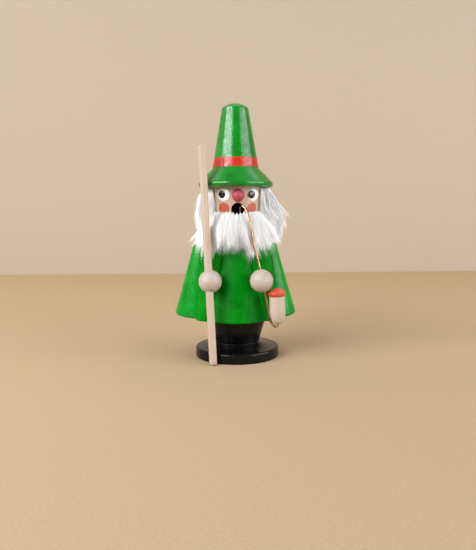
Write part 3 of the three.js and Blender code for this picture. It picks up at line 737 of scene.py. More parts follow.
def limb_radius(limb, above):
    """The radius of an arm or sleeve at heights above the hem, with its dome."""
    above = np.asarray(above, float)
    shoulder = limb["shoulder_height"]
    cone = limb["foot_radius"] + (limb["shoulder_radius"] - limb["foot_radius"]) * above / shoulder
    rise = np.clip((above - shoulder) / (limb["height"] - shoulder), 0, 1)
    dome = limb["shoulder_radius"] * np.sqrt(1 - rise * rise)
    return np.where(above <= shoulder, cone, np.where(above <= limb["height"], dome, 0))


def limb_piece(limb, side, node, finish):
    """A leaning cone with a domed shoulder. What would lie deep in the coat is drawn out to its wall."""
    foot_radius = limb["foot_radius"]
    shoulder = limb["shoulder_height"]
    dome = limb["height"] - shoulder
    dome_foot = (limb["shoulder_radius"], shoulder)
    corner = rounded_corner((0, 0), (foot_radius, 0), dome_foot, limb["hem_round"])
    outline = filled(corner + [dome_foot], MIDDLE_STEP)
    outline += arc((0, shoulder), (limb["shoulder_radius"], dome), 0, 90, 2 * ROUND_STEPS)[1:-1]
    outline.append((0, limb["height"]))
    verts, faces = turned(outline)
    faces.append(tuple(range(TURNS - 1, -1, -1)))
    x, y = limb_middle(limb, side, verts[:, 2])
    verts[:, 0] += x
    verts[:, 1] += y
    outward = (side * (verts[:, 0] - x) / foot_radius + 1) / 2
    rise = limb["hem_rise"] * outward ** 2 * (1 - verts[:, 2] / limb["height"])
    verts[:, 2] += hem
    wall = coat_radius(verts[:, 2]) - LIMB_SINK
    off_axis = np.hypot(verts[:, 0], verts[:, 1])
    verts[:, :2] *= np.maximum(1, wall / off_axis)[:, None]
    verts[:, 2] += rise + limb["lift"] * (1 - (verts[:, 2] - hem) / limb["height"])
    piece = mesh_object("lacquered_" + node, verts, faces)
    dress(piece, "figure", "green_lacquer", [finish], [node])


# Staff, hands and pipe

def staff_line():
    """The staff's two ends in the middle of its square section."""
    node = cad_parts["staff"]
    points = np.array([v.co for v in node.data.vertices]) / MM
    halfway = (points[:, 2].min() + points[:, 2].max()) / 2
    foot = points[points[:, 2] < halfway].mean(0)
    top = points[points[:, 2] > halfway].mean(0)
    return foot, top


staff_foot, staff_top = staff_line()
staff_way = unit(staff_top - staff_foot)


def square_section(side, edge):
    """A square with rounded corners, turned about the staff's line, as points in the plane."""
    half = side / 2
    inner = half - edge
    points = []
    for quarter, (x, y) in enumerate([(inner, inner), (-inner, inner), (-inner, -inner), (inner, -inner)]):
        points += arc((x, y), edge, 90 * quarter, 90 * quarter + 90, CORNER_STEPS)
    turn = math.radians(STAFF_TURN)
    spin = np.array([[math.cos(turn), -math.sin(turn)], [math.sin(turn), math.cos(turn)]])
    return np.array(points) @ spin.T


def along_staff(section, distance):
    """The section set square to the staff's line, some way up from its foot."""
    lean = Vector((0, 0, 1)).rotation_difference(Vector(staff_way)).to_matrix()
    flat = np.column_stack([section, np.zeros(len(section))])
    return flat @ np.array(lean).T + staff_foot + staff_way * distance


def staff():
    length = np.linalg.norm(staff_top - staff_foot)
    section = square_section(STAFF_SIDE, STAFF_EDGE)
    worn = square_section(STAFF_SIDE - STAFF_WORN, STAFF_EDGE)
    rings = [along_staff(worn, 0)]
    for share in np.linspace(0, 1, STAFF_STEPS):
        hand_cut = 1 + waves(share, STAFF_WAVES)
        up = STAFF_WORN / 2 + (length - STAFF_WORN) * share
        rings.append(along_staff(section * min(hand_cut, 1), up))
    rings.append(along_staff(worn, length))
    piece = mesh_object("split_staff", *lofted(rings))
    piece.data.set_sharp_from_angle(angle=math.radians(STAFF_SHARP_ANGLE))
    dress(piece, "staff_body", "staff_wood", [STAFF_WOOD], ["staff"])


def ball(name, centre, radius):
    """A turned bead."""
    verts, faces = turned(arc((0, 0), radius, -90, 90, SMALL_TURNS), TURNS)
    return mesh_object(name, verts + np.array(centre), faces)


hand_middle = {}
for hand_side, hand_name in SIDE_NAMES.items():
    hand_middle[hand_side] = np.array(middle(hand_name + "_hand"))
    hand_middle[hand_side][1] = low(hand_name + "_hand").y + HAND_RADIUS


def hand(side):
    node = SIDE_NAMES[side] + "_hand"
    piece = ball("turned_" + node, hand_middle[side], HAND_RADIUS)
    if side == STAFF_HAND_SIDE:
        hole = square_section(STAFF_SIDE + 2 * STAFF_SLIP, STAFF_EDGE)
        reach = np.linalg.norm(staff_top - staff_foot)
        ends = [along_staff(hole, 0), along_staff(hole, reach)]
        cut_away(piece, [mesh_object("staff_hole", *lofted(ends))])
    dress(piece, "figure", "bare_wood", [HAND_WOOD], [node])


bowl_place = Matrix.Translation((BOWL_X, BOWL_Y, hem + BOWL_FOOT_ABOVE_HEM))
bowl_place = bowl_place @ Matrix.Rotation(math.radians(-BOWL_TILT), 4, "Y")


def on_bowl(verts):
    """Points of the bowl's own frame set in place."""
    turn = np.array(bowl_place)
    return np.asarray(verts) @ turn[:3, :3].T + turn[:3, 3]


def pipe_bowl():
    hole = LID_SPIGOT_RADIUS + GLUE_GAP
    hole_floor = BOWL_HEIGHT - LID_SPIGOT_LENGTH - 2 * GLUE_GAP
    foot_control = (BOWL_RADIUS - BOWL_FOOT_TURN[0], BOWL_FOOT_TURN[1])
    belly = bend((BOWL_FOOT_RADIUS, 0), foot_control, (BOWL_RADIUS, BOWL_BELLY_HEIGHT), 2 * ROUND_STEPS)
    top = [
        belly[-1],
        (BOWL_NECK_RADIUS, BOWL_HEIGHT), (hole, BOWL_HEIGHT), (hole, hole_floor), (0, hole_floor),
    ]
    outline = [(0, 0)] + belly[:-1] + filled(rounded(top), MIDDLE_STEP)
    verts, faces = turned(outline, SMALL_TURNS)
    piece = mesh_object("turned_pipe_bowl", on_bowl(verts), faces)
    dress(piece, "figure", "cream_wood", [BOWL_WOOD], ["pipe_bowl"])


def pipe_lid():
    seat = BOWL_HEIGHT + GLUE_GAP
    spigot_foot = seat - LID_SPIGOT_LENGTH
    edge = (LID_RADIUS, seat + LID_EDGE_HEIGHT)
    top = seat + LID_HEIGHT
    lower = rounded([
        (0, spigot_foot), (LID_SPIGOT_RADIUS, spigot_foot), (LID_SPIGOT_RADIUS, seat),
        (LID_SEAT_RADIUS, seat),
    ])
    edge_turn = (LID_RADIUS - LID_EDGE_TURN[0], seat + LID_EDGE_TURN[1])
    under = bend((LID_SEAT_RADIUS, seat), edge_turn, edge)[1:]
    dome = bend(edge, (LID_DOME_FULLNESS * LID_RADIUS, top), (0, top), 2 * ROUND_STEPS)[1:-1]
    outline = lower + under + dome + [(0, top)]
    verts, faces = turned(outline, SMALL_TURNS)
    piece = mesh_object("turned_pipe_lid", on_bowl(verts), faces)
    dress(piece, "figure", "red_lacquer", [LID_RED], ["pipe_lid"])


def wire_points():
    """The wire's bends: a hook in the mouth, down before the beard, through the hand, under the bowl."""
    mouth = at_azimuth(FACE_TURN, head_radius(mouth_z), mouth_z)
    bowl_foot = on_bowl([(0, 0, 0)])[0]
    at_mouth = [
        (0.3, 0.77, -0.55), (0.32, 0.59, 0.18), (0.41, 0.25, 0.61), (0.66, -0.34, 0.52),
        (1.18, -0.7, -0.07), (1.5, -1.2, -1.14), (1.8, -1.55, -2.27),
    ]
    at_hand = [(-0.72, -0.04, 3.52), (-0.12, 0, 0.93), (0, 0, 0), (0.27, 0.05, -0.93)]
    at_bowl = [(-1.16, 0, 1.29), (-0.92, 0, 0.25), (-0.53, 0, -0.29), (-0.16, 0, -0.37)]
    points = [mouth + MOUTH_RADIUS * np.array(off) for off in at_mouth]
    points += [hand_middle[PIPE_HAND_SIDE] + HAND_RADIUS * np.array(off) for off in at_hand]
    points += [bowl_foot + BOWL_RADIUS * np.array(off) for off in at_bowl]
    return np.array(points + list(on_bowl([(0, 0, WIRE_AT_BOWL_FOOT), (0, 0, WIRE_IN_BOWL)])))


def smooth_way(points, steps):
    """Points along a centripetal Catmull-Rom curve through the given ones."""
    ends = np.vstack([2 * points[0] - points[1], points, 2 * points[-1] - points[-2]])
    spans = len(points) - 1
    way = []
    for t in np.linspace(0, spans, steps + 1):
        i = min(int(t), spans - 1)
        share = t - i
        p = ends[i:i + 4]
        gaps = np.linalg.norm(np.diff(p, axis=0), axis=1) ** 0.5
        first = (p[1] - p[0]) / gaps[0] - (p[2] - p[0]) / (gaps[0] + gaps[1]) + (p[2] - p[1]) / gaps[1]
        last = (p[2] - p[1]) / gaps[1] - (p[3] - p[1]) / (gaps[1] + gaps[2]) + (p[3] - p[2]) / gaps[2]
        first = first * gaps[1]
        last = last * gaps[1]
        cubic = 2 * p[1] - 2 * p[2] + first + last
        square = -3 * p[1] + 3 * p[2] - 2 * first - last
        way.append(p[1] + first * share + square * share ** 2 + cubic * share ** 3)
    return np.array(way)


def pipe_wire():
    rings = []
    tangents = unit(np.gradient(wire_way, axis=0))
    side = np.cross(tangents[0], (0, 1, 0))
    angles = np.linspace(0, 2 * math.pi, WIRE_SIDES, endpoint=False)
    for point, tangent in zip(wire_way, tangents):
        side = unit(side - tangent * (side @ tangent))
        other = np.cross(tangent, side)
        ring = np.cos(angles)[:, None] * side + np.sin(angles)[:, None] * other
        rings.append(point + WIRE_RADIUS * ring)
    make("bent_pipe_wire", lofted(rings), "figure", "copper_wire", [COPPER], ["pipe_wire"])


# Head, face and hat

def head_radius(z):
    """The head's radius at a height above its rounded chin."""
    chin_top = head_foot + HEAD_CHIN_ROUND
    share = (np.asarray(z, float) - chin_top) / (head_top - chin_top)
    return mixed(HEAD_CHIN_RADIUS, HEAD_TOP_RADIUS, share)


def rod_between(name, start, end, radius):
    """A round cutter between two points."""
    start = Vector(start)
    along = Vector(end) - start
    verts, faces = turned([(0, 0), (radius, 0), (radius, along.length), (0, along.length)])
    lean = np.array(Vector((0, 0, 1)).rotation_difference(along).to_matrix())
    return mesh_object(name, verts @ lean.T + np.array(start), faces)


def head():
    tenon_foot = low("head").z
    chin_inside = HEAD_CHIN_RADIUS - HEAD_CHIN_ROUND
    chin_top = head_foot + HEAD_CHIN_ROUND
    hat_tenon_top = high("head").z
    lower = rounded([
        (0, tenon_foot), (HEAD_TENON_RADIUS, tenon_foot), (HEAD_TENON_RADIUS, head_foot),
        (chin_inside, head_foot),
    ])
    chin = arc((chin_inside, chin_top), HEAD_CHIN_ROUND, -90, 0)[1:]
    upper = rounded([
        chin[-1],
        (HEAD_TOP_RADIUS, head_top), (HAT_TENON_RADIUS, head_top),
        (HAT_TENON_RADIUS, hat_tenon_top), (0, hat_tenon_top),
    ])
    outline = filled(lower + chin + upper[1:], FINE_STEP)
    piece = mesh_object("turned_head", *turned(outline, HEAD_TURNS))
    bore_middle = np.array((0, 0, mouth_z))
    outside = at_azimuth(FACE_TURN, 2 * HEAD_TOP_RADIUS, mouth_z)
    cutters = [
        rod_between("smoke_bore", (0, 0, tenon_foot - BORE_OVERRUN), bore_middle, SMOKE_BORE_RADIUS),
        rod_between("mouth_bore", bore_middle, outside, MOUTH_RADIUS),
    ]
    cut_away(piece, cutters)
    dress(piece, "figure", "bare_wood", [HEAD_WOOD, MOUTH_PAINTED_SHADE], ["head"])
    # Painted shade: faces inside the mouth's bore and the smoke bore up to the mouth get the matt black
    for face in piece.data.polygons:
        centre = face.center / MM
        deep = math.hypot(centre.x, centre.y) < head_radius(centre.z) - MOUTH_PAINT_DEPTH
        level = abs(centre.z - mouth_z) < MOUTH_RADIUS + MOUTH_PAINT_ROOM
        in_mouth = deep and level and centre.y < SMOKE_BORE_RADIUS
        in_bore = math.hypot(centre.x, centre.y) < SMOKE_BORE_RADIUS + BORE_PAINT_ROOM
        face.material_index = int(in_mouth or (in_bore and centre.z < mouth_z + MOUTH_RADIUS))


def nose():
    seat = head_radius(nose_z)
    centre = at_azimuth(FACE_TURN, seat + NOSE_STANDS_OUT, nose_z)
    piece = ball("turned_nose", centre, NOSE_RADIUS)
    dress(piece, "figure", "nose_lacquer", [NOSE_RED], ["nose"])


def dab(name, azimuth, height, size, rise, material, slot, shift=(0, 0), under=0.0):
    """A round dab of paint on the head, domed by its rise. shift moves it along the surface."""
    rings = []
    angles = np.linspace(0, 2 * math.pi, SMALL_TURNS, endpoint=False)
    shares = np.linspace(1, DAB_MIDDLE, DAB_RINGS)
    outline = [(share, under + rise * math.sqrt(1 - share ** DAB_FULLNESS)) for share in shares]
    for share, stand in [(1, -EDGE_ROUND)] + outline:
        along = shift[0] + size[0] * share * np.cos(angles)
        up = shift[1] + size[1] * share * np.sin(angles)
        z = head_foot + height + up
        radius = head_radius(z)
        turn = np.radians(azimuth) + along / radius
        reach = radius + stand
        rings.append(np.column_stack([reach * np.sin(turn), -reach * np.cos(turn), z]))
    make(name, lofted(rings), "figure", slot, [material])


def face_paint():
    for side, name in SIDE_NAMES.items():
        eye = EYE_TURN + side * EYE_AZIMUTH
        cheek = CHEEK_TURN + side * CHEEK_AZIMUTH
        dab(name + "_eye_white", eye, EYE_HEIGHT, EYE_SIZE, EYE_RISE, EYE_WHITE, "bare_wood")
        dab(
            name + "_eye_pupil", eye, EYE_HEIGHT, PUPIL_SIZE, PUPIL_RISE, PUPIL_BLACK, "black_lacquer",
            PUPIL_SHIFT[side], EYE_RISE - PUPIL_SINK,
        )
        dab(name + "_cheek", cheek, CHEEK_HEIGHT, CHEEK_SIZE, CHEEK_RISE, CHEEK, "red_lacquer")


def hat():
    edge_middle = BRIM_RADIUS - BRIM_EDGE_ROUND
    socket = HAT_TENON_RADIUS + GLUE_GAP
    socket_top = high("head").z + GLUE_GAP
    dome_top = hat_cone_top + HAT_DOME_HEIGHT
    under = rounded([
        (socket, hat_seat + EDGE_ROUND), (socket, hat_seat), (HEAD_TOP_RADIUS, hat_seat),
        (edge_middle, brim_middle - BRIM_EDGE_ROUND),
    ])[1:]
    edge = arc((edge_middle, brim_middle), BRIM_EDGE_ROUND, -90, BRIM_EDGE_END)[1:]
    cone = [edge[-1], (HAT_NECK_RADIUS, hat_neck), (HAT_TOP_RADIUS, hat_cone_top)]
    upper = rounded(cone, HAT_NECK_ROUND)[1:-1]
    corner = (HAT_TOP_RADIUS, hat_cone_top + HAT_TOP_CORNER_UP)
    top = rounded_corner(upper[-1], corner, (0, dome_top + HAT_TOP_AIM_UP), HAT_TOP_ROUND)
    crown = bend(top[-1], (top[-1][0] * HAT_CROWN_FULLNESS, dome_top), (0, dome_top))[1:]
    outline = filled(under + edge + upper + top + crown, MIDDLE_STEP)
    outline += rounded([(0, socket_top), (socket, socket_top), (socket, hat_seat + 2 * EDGE_ROUND)])
    make("turned_hat", turned(outline, closed=True), "figure", "green_lacquer", [GREEN], ["hat"])


def hat_band():
    """The red band round the hat, just above the brim."""
    lean = (HAT_NECK_RADIUS - HAT_TOP_RADIUS) / HAT_CONE_HEIGHT
    foot = hat_neck + BAND_ABOVE_NECK
    top = foot + BAND_HEIGHT

    def cone(z, off):
        return (HAT_NECK_RADIUS - lean * (z - hat_neck) + off, z)

    corners = [
        cone((foot + top) / 2, -EDGE_ROUND),
        cone(foot, -EDGE_ROUND),
        cone(foot, BAND_SHEET),
        cone(top, BAND_SHEET),
        cone(top, -EDGE_ROUND),
        cone((foot + top) / 2, -EDGE_ROUND),
    ]
    outline = filled(rounded(corners, BAND_SHEET), FINE_STEP)[:-1]
    make("hat_band", turned(outline, closed=True), "figure", "red_lacquer", [RED])


wire_way = smooth_way(wire_points(), WIRE_STEPS)


# Fur
FUR_SEED = 7
FUR_SEGMENTS = 5
FUR_STRANDS = 6500
STRANDS_PER_LOCK = 20
LOCK_BLOCK = 500
STRAND_WIDTH = 0.16
STRAND_TAPER = 0.75
STRAND_TAPER_POWER = 1.5
FUR_CLEARANCE = 0.35
HALF_DIAGONAL = 0.72
WIRE_SIDE_ROOM = 2.2
FUR_TURN = 7.5

# Beard
BEARD_LENGTH = 27
FREE_TIP = 19
BEARD_HALF = 76
BEARD_TOP = 98.2
BEARD_RAGGED = [(0.6, 0.75, 0), (0.5, 1.9, 1)]
BEARD_UNDER_MOUTH = 1
BEARD_MOUTH_WIDTH = 3.8
# Painted shade: the beard's roots are painted grey, lighter towards the tips
BEARD_PAINTED_SHADE_TONE = 0.45
BEARD_LEAN = 0.32

# Hair
HAIR_LENGTH = 14
HAIR_FREE_TIP = 4.0
HAIR_FRONT = 70
HAIR_BACK = 179.8
HAIR_TOP = hat_seat - BRIM_DROP
HAIR_RAMP = 24
HAIR_RAMP_AT_BEARD = 12
HAIR_RAMP_BELOW = 8
HAIR_RAMP_OVER = 20
HAIR_FRONT_FULLNESS = 0.1
HAIR_BACK_FULLNESS = 0.72
HAIR_BACK_FROM = 120
HAIR_BACK_OVER = 45
FLICK_AZIMUTH = 95
FLICK_WIDTH = 16
FLICK_Z = 108
FLICK_HEIGHT = 4
FLICK_GAIN = 0.2

# Undercoat
UNDERCOAT_ACROSS = 96
UNDERCOAT_DOWN = 30
UNDERCOAT_GAP = 0.1
UNDERCOAT_LEAST = 0.3
UNDERCOAT_RIPPLE = 0.2
RIPPLE_ROUND = 1.1
RIPPLE_SWAY = 1.4
RIPPLE_DOWN = 0.4

# How strands differ from one another: shares of them, ranges and spreads
EDGE_STRANDS = 0.14
EDGE_ABOVE = 0.2
EDGE_DEPTH = 1
EDGE_FLUFF_OUT = 1.4
EDGE_FLUFF_UP = 0.5
WISPS = 0.15
WISP_RANGE = (1, 1.35)
STRAY_SHARE = 0.08
STRAY_REACH = 1.5
LOOSE_SHARE = 0.12
LOOSE_PULL = 0.2
LOCK_PULL = (0.45, 0.95)
LENGTH_RANGE = (0.6, 1.15)
ROOM_RANGE = (0.4, 1.08)
STAND_RANGE = (0.1, 0.6)
THICKNESS_RANGE = (0.7, 1.25)
ROOT_SPILL = 2
ROOT_SINK = 0.15
SLOPE_STEP = 4
LIFT_SPREAD = (0.1, 0.07)
FAN_SPREAD = 0.15
BULGE = 0.12
LOCK_SWING = 0.4
STRAND_SWING = 0.25
PHASE_SPREAD = 0.35
WAVE_TURN = 4.2

# Shading of the fur: how its normals turn and how light it is, with painted shade from root to tip
NORMAL_SPREAD = 0.16
NORMAL_FORWARD = 0.9
NORMAL_FRONT = 0.6
NORMAL_UP = 0.2
LOCK_TONE = 0.07
STRAND_TONE = 0.05
ROOT_TO_TIP_PAINTED_SHADE = 0.5
UNDERCOAT_TONE = 0.25

# The fur's places on the bake's map, as shares of a strand's cell or of the map
MAP_FOOT = 0.1
MAP_TOP = 0.95
MAP_MARGIN = 0.15
MAP_STRIP = 0.1
MAP_COLUMNS = 200
MAP_ROOT = [(0.02, 0.02), (0.1, 0.02), (0.06, 0.05)]
MAP_PATCH = [(0.1, 0.1), (0.9, 0.1), (0.9, 0.9), (0.1, 0.9)]

# Where the beard's tips end, by angle from the front, and its thickness from top to foot
BEARD_TIPS = [
    (-80, 68), (-60, 66), (-48, 63.5), (-36, 66), (-20, 69.5), (-4, 71),
    (10, 70), (20, 66.5), (29, 62.5), (37, 65), (46, 66.5), (60, 68), (80, 71),
]
BEARD_OUTLINE = [(0, 16.2), (0.06, 17.2), (0.2, 18.2), (0.45, 19.2), (0.75, 20), (0.95, 20), (1, 18.6)]

# Painted light: the staff-side hair is painted darker and the pipe-side hair lighter, for how the lamps
# light each side
HAIR_PAINTED_LIGHT_TONE = {STAFF_HAND_SIDE: 0.1, PIPE_HAND_SIDE: 1}

# How far the hair reaches from the figure's axis, from its foot to its top
HAIR_OUTLINE = {
    STAFF_HAND_SIDE: [
        (77, 21), (80, 26), (84, 24.6), (90, 23.2), (95, 24.8), (101, 24.8), (108, 23.2), (115, 21.5),
    ],
    PIPE_HAND_SIDE: [
        (80, 22), (82.5, 28), (88, 29.6), (93, 30), (97, 31), (101, 29.8), (108, 26.2), (115, 22.6),
    ],
}


def ease(value):
    """A smooth step from 0 to 1."""
    share = np.clip(value, 0, 1)
    return share * share * (3 - 2 * share)


def push_out(points, x, y, radius):
    """Moves points out of a circle about x and y, level by level."""
    off_x = points[..., 0] - x
    off_y = points[..., 1] - y
    off = np.maximum(np.hypot(off_x, off_y), 1e-3)
    grow = np.maximum(1, radius / off)
    points[..., 0] = x + off_x * grow
    points[..., 1] = y + off_y * grow


def wall_radius(z):
    """The radius of the head or coat behind the fur."""
    on_head = (z > head_foot) & (z < hat_seat)
    head_wall = np.where(on_head, head_radius(np.clip(z, head_foot + HEAD_CHIN_ROUND, hat_seat)), 0)
    return np.maximum(head_wall, coat_radius(z))


def keep_behind(points, near, y):
    """Moves the points that are near back to y."""
    points[..., 1] = np.where(near, np.maximum(points[..., 1], y), points[..., 1])


def clear_of_body(points):
    """Keeps fur outside the head, coat, arms, sleeves and hat, and behind the staff and the wire."""
    z = points[..., 2]
    above = z - hem
    push_out(points, 0, 0, wall_radius(z) + FUR_CLEARANCE)
    for limb in (SLEEVE, ARM):
        for side in SIDE_NAMES:
            x, y = limb_middle(limb, side, above)
            radius = limb_radius(limb, above)
            push_out(points, x, y, np.where(radius > 0, radius + FUR_CLEARANCE, 0))
    share = (z - staff_foot[2]) / (staff_top[2] - staff_foot[2])
    staff_x = mixed(staff_foot[0], staff_top[0], share)
    staff_y = mixed(staff_foot[1], staff_top[1], share)
    staff_room = STAFF_SIDE * HALF_DIAGONAL + FUR_CLEARANCE
    near = np.abs(points[..., 0] - staff_x) < 2 * staff_room
    keep_behind(points, near, staff_y + staff_room)
    lip = int(np.argmax(wire_way[:, 2]))
    palm = lip + int(np.argmin(np.abs(wire_way[lip:, 2] - hand_middle[PIPE_HAND_SIDE][2])))
    run = wire_way[lip:palm][::-1]
    wire_x = np.interp(z, run[:, 2], run[:, 0])
    wire_y = np.interp(z, run[:, 2], run[:, 1])
    near = (np.abs(points[..., 0] - wire_x) < WIRE_SIDE_ROOM) & (z < mouth_z)
    keep_behind(points, near, wire_y + WIRE_RADIUS + FUR_CLEARANCE)
    points[..., 2] = np.minimum(z, HAIR_TOP)


class Beard:
    """The beard's shape: angles from the front, edges and radius."""

    name = "beard_of_fur"
    node = "beard_fur"
    limits = (FUR_TURN - BEARD_HALF, FUR_TURN + BEARD_HALF)
    painted_shade_root_tone = BEARD_PAINTED_SHADE_TONE
    lean = BEARD_LEAN

    def tips(self, azimuth):
        return np.interp(azimuth, *zip(*BEARD_TIPS))

    def edges(self, azimuth):
        across = np.radians(azimuth - FACE_TURN) * head_radius(mouth_z)
        under_mouth = BEARD_UNDER_MOUTH * np.exp(-(across / BEARD_MOUTH_WIDTH) ** 2)
        top = BEARD_TOP + waves(azimuth, BEARD_RAGGED) - under_mouth
        return top, self.tips(azimuth) + FREE_TIP

    def radius(self, azimuth, z):
        top, foot = self.edges(azimuth)
        return np.interp((top - z) / (top - foot), *zip(*BEARD_OUTLINE))

    def length(self, azimuth, z):
        return np.full(azimuth.shape, float(BEARD_LENGTH))


class Hair:
    """The hair's shape on one side: angles from the front, edges and radius."""

    lean = 0

    def __init__(self, side):
        self.side = side
        self.name = SIDE_NAMES[side] + "_side_tuft"
        self.node = SIDE_NAMES[side] + "_side_hair"
        self.front = HAIR_FRONT + side * FUR_TURN
        self.limits = tuple(sorted((side * self.front, side * HAIR_BACK)))
        self.outline = HAIR_OUTLINE[side]
        self.painted_shade_root_tone = HAIR_PAINTED_LIGHT_TONE[side]

    def tips(self, azimuth):
        return np.full(azimuth.shape, self.outline[0][0] - HAIR_FREE_TIP)

    def edges(self, azimuth):
        return np.full(azimuth.shape, float(HAIR_TOP)), np.full(azimuth.shape, float(self.outline[0][0]))

    def radius(self, azimuth, z):
        turn = np.abs(azimuth)
        reach = np.interp(z, *zip(*self.outline))
        ramp = HAIR_RAMP
        if self.side == PIPE_HAND_SIDE:
            above_beard = ease((z - BEARD_TOP + HAIR_RAMP_BELOW) / HAIR_RAMP_OVER)
            ramp = mixed(HAIR_RAMP_AT_BEARD, HAIR_RAMP, above_beard)
        full = mixed(HAIR_FRONT_FULLNESS, 1, ease((turn - self.front) / ramp))
        full = full * mixed(1, HAIR_BACK_FULLNESS, ease((turn - HAIR_BACK_FROM) / HAIR_BACK_OVER))
        wall = head_radius(z)
        return mixed(wall, reach, full)

    def length(self, azimuth, z):
        round_flick = np.exp(-((np.abs(azimuth) - FLICK_AZIMUTH) / FLICK_WIDTH) ** 2)
        flick = round_flick * np.exp(-((z - FLICK_Z) / FLICK_HEIGHT) ** 2)
        return HAIR_LENGTH * (1 + FLICK_GAIN * flick * (self.side == PIPE_HAND_SIDE))


def undercoat(shape):
    """The dense fur under the strands: a closed solid between the figure and the shape's radius."""
    azimuth = np.linspace(*shape.limits, UNDERCOAT_ACROSS)[None, :]
    down = np.linspace(0, 1, UNDERCOAT_DOWN)[:, None]
    top, foot = shape.edges(azimuth)
    z = mixed(top, foot, down)
    azimuth = np.broadcast_to(azimuth, z.shape)
    sway = np.sin(RIPPLE_ROUND * azimuth + RIPPLE_SWAY * np.sin(RIPPLE_DOWN * z))
    ripple = UNDERCOAT_RIPPLE * sway - UNDERCOAT_RIPPLE
    inside = wall_radius(z) + UNDERCOAT_GAP
    outside = np.maximum(shape.radius(azimuth, z) + ripple, inside + UNDERCOAT_LEAST)
    outer = at_azimuths(azimuth.ravel(), outside.ravel(), z.ravel())
    inner = at_azimuths(azimuth.ravel(), inside.ravel(), z.ravel())
    half = len(outer)
    faces = []
    for row in range(UNDERCOAT_DOWN - 1):
        for column in range(UNDERCOAT_ACROSS - 1):
            a = row * UNDERCOAT_ACROSS + column
            b, c, d = a + 1, a + UNDERCOAT_ACROSS + 1, a + UNDERCOAT_ACROSS
            faces.append((d, c, b, a))
            faces.append((half + a, half + b, half + c, half + d))
    rim = list(range(UNDERCOAT_ACROSS))
    rim += [(row + 1) * UNDERCOAT_ACROSS - 1 for row in range(1, UNDERCOAT_DOWN)]
    rim += [half - 2 - i for i in range(UNDERCOAT_ACROSS - 1)]
    rim += [row * UNDERCOAT_ACROSS for row in range(UNDERCOAT_DOWN - 2, 0, -1)]
    for a, b in zip(rim, rim[1:] + rim[:1]):
        faces.append((a, b, half + b, half + a))
    return np.concatenate([outer, inner]), faces


def combed(rng, shape):
    """Strands that start on the undercoat and lie downward along it: roots, controls and tips."""
    count = FUR_STRANDS
    azimuth = rng.uniform(shape.limits[0] - ROOT_SPILL, shape.limits[1] + ROOT_SPILL, count)
    top, foot = shape.edges(azimuth)
    at_edge = rng.random(count) < EDGE_STRANDS
    edge_z = top + EDGE_ABOVE - np.abs(rng.normal(0, EDGE_DEPTH, count))
    z = np.where(at_edge, edge_z, mixed(top, foot, rng.random(count)))
    radius = shape.radius(azimuth, z) - ROOT_SINK
    below = np.maximum(z - SLOPE_STEP, foot)
    slope = (shape.radius(azimuth, below) - radius) / np.maximum(z - below, 1)
    length = shape.length(azimuth, z) * rng.uniform(*LENGTH_RANGE, count)
    room = (z - shape.tips(azimuth)) * rng.uniform(*ROOM_RANGE, count)
    room *= np.where(rng.random(count) < WISPS, rng.uniform(*WISP_RANGE, count), 1)
    length = np.minimum(length, room)
    lift = rng.normal(*LIFT_SPREAD, count)
    halfway = sum(shape.limits) / 2
    fan = rng.normal(0, FAN_SPREAD, count) + shape.lean * (azimuth - halfway) / (shape.limits[1] - halfway)
    turn = np.radians(azimuth)
    out = np.column_stack([np.sin(turn), -np.cos(turn), np.zeros(count)])
    along = np.column_stack([np.cos(turn), np.sin(turn), np.zeros(count)])
    way = (slope + lift)[:, None] * out + fan[:, None] * along - np.array((0, 0, 1))
    way = unit(way)
    roots = at_azimuths(azimuth, radius, z)
    controls = roots + (way + BULGE * out) * (0.5 * length)[:, None]
    fluff = np.where(at_edge, rng.uniform(0, 1, count), 0)[:, None]
    controls = mixed(controls, roots + EDGE_FLUFF_OUT * out + (0, 0, EDGE_FLUFF_UP), fluff)
    tips = roots + way * length[:, None]
    return roots, controls, tips


def strand_paths(rng, shape):
    """Each strand's points from root to tip, drawn together into pointed locks, with some strays."""
    roots, controls, tips = combed(rng, shape)
    count = len(roots)
    t = np.linspace(0, 1, FUR_SEGMENTS + 1)[None, :, None]
    paths = roots[:, None] * (1 - t) ** 2 + controls[:, None] * 2 * t * (1 - t) + tips[:, None] * t ** 2
    leaders = rng.choice(count, count // STRANDS_PER_LOCK, replace=False)
    lock = np.empty(count, int)
    for start in range(0, count, LOCK_BLOCK):
        block = roots[start:start + LOCK_BLOCK]
        off = np.linalg.norm(block[:, None] - roots[leaders][None], axis=2)
        lock[start:start + LOCK_BLOCK] = off.argmin(1)
    pull = rng.uniform(*LOCK_PULL, count)
    pull[rng.random(count) < LOOSE_SHARE] *= LOOSE_PULL
    pulled = pull[:, None, None] * t ** 2
    paths = mixed(paths, paths[leaders][lock], pulled)
    swing = rng.normal(0, 1, (len(leaders), 3))[lock] * LOCK_SWING
    swing = swing + rng.normal(0, STRAND_SWING, (count, 3))
    phase = rng.uniform(0, 2 * math.pi, len(leaders))[lock] + rng.normal(0, PHASE_SPREAD, count)
    wave = np.sin(phase[:, None] + WAVE_TURN * t[..., 0]) - np.sin(phase[:, None])
    paths += swing[:, None] * (wave * t[..., 0])[..., None]
    strays = np.where(rng.random(count) < STRAY_SHARE, 1, 0)[:, None]
    stray = strays * rng.normal(0, STRAY_REACH, (count, 3))
    paths += stray[:, None] * t ** 2
    moved = paths[:, 1:].copy()
    clear_of_undercoat(shape, moved, rng.uniform(*STAND_RANGE, (count, 1)))
    # Twice, because a push out of one piece can lead into the next
    clear_of_body(moved)
    clear_of_body(moved)
    paths[:, 1:] = moved
    return paths, lock


def clear_of_undercoat(shape, points, stand):
    """Keeps strands on top of the undercoat wherever it reaches."""
    azimuth = np.degrees(np.arctan2(points[..., 0], -points[..., 1]))
    z = points[..., 2]
    top, foot = shape.edges(azimuth)
    inside = (azimuth > shape.limits[0]) & (azimuth < shape.limits[1]) & (z > foot) & (z < top)
    push_out(points, 0, 0, np.where(inside, shape.radius(azimuth, z) + stand, 0))


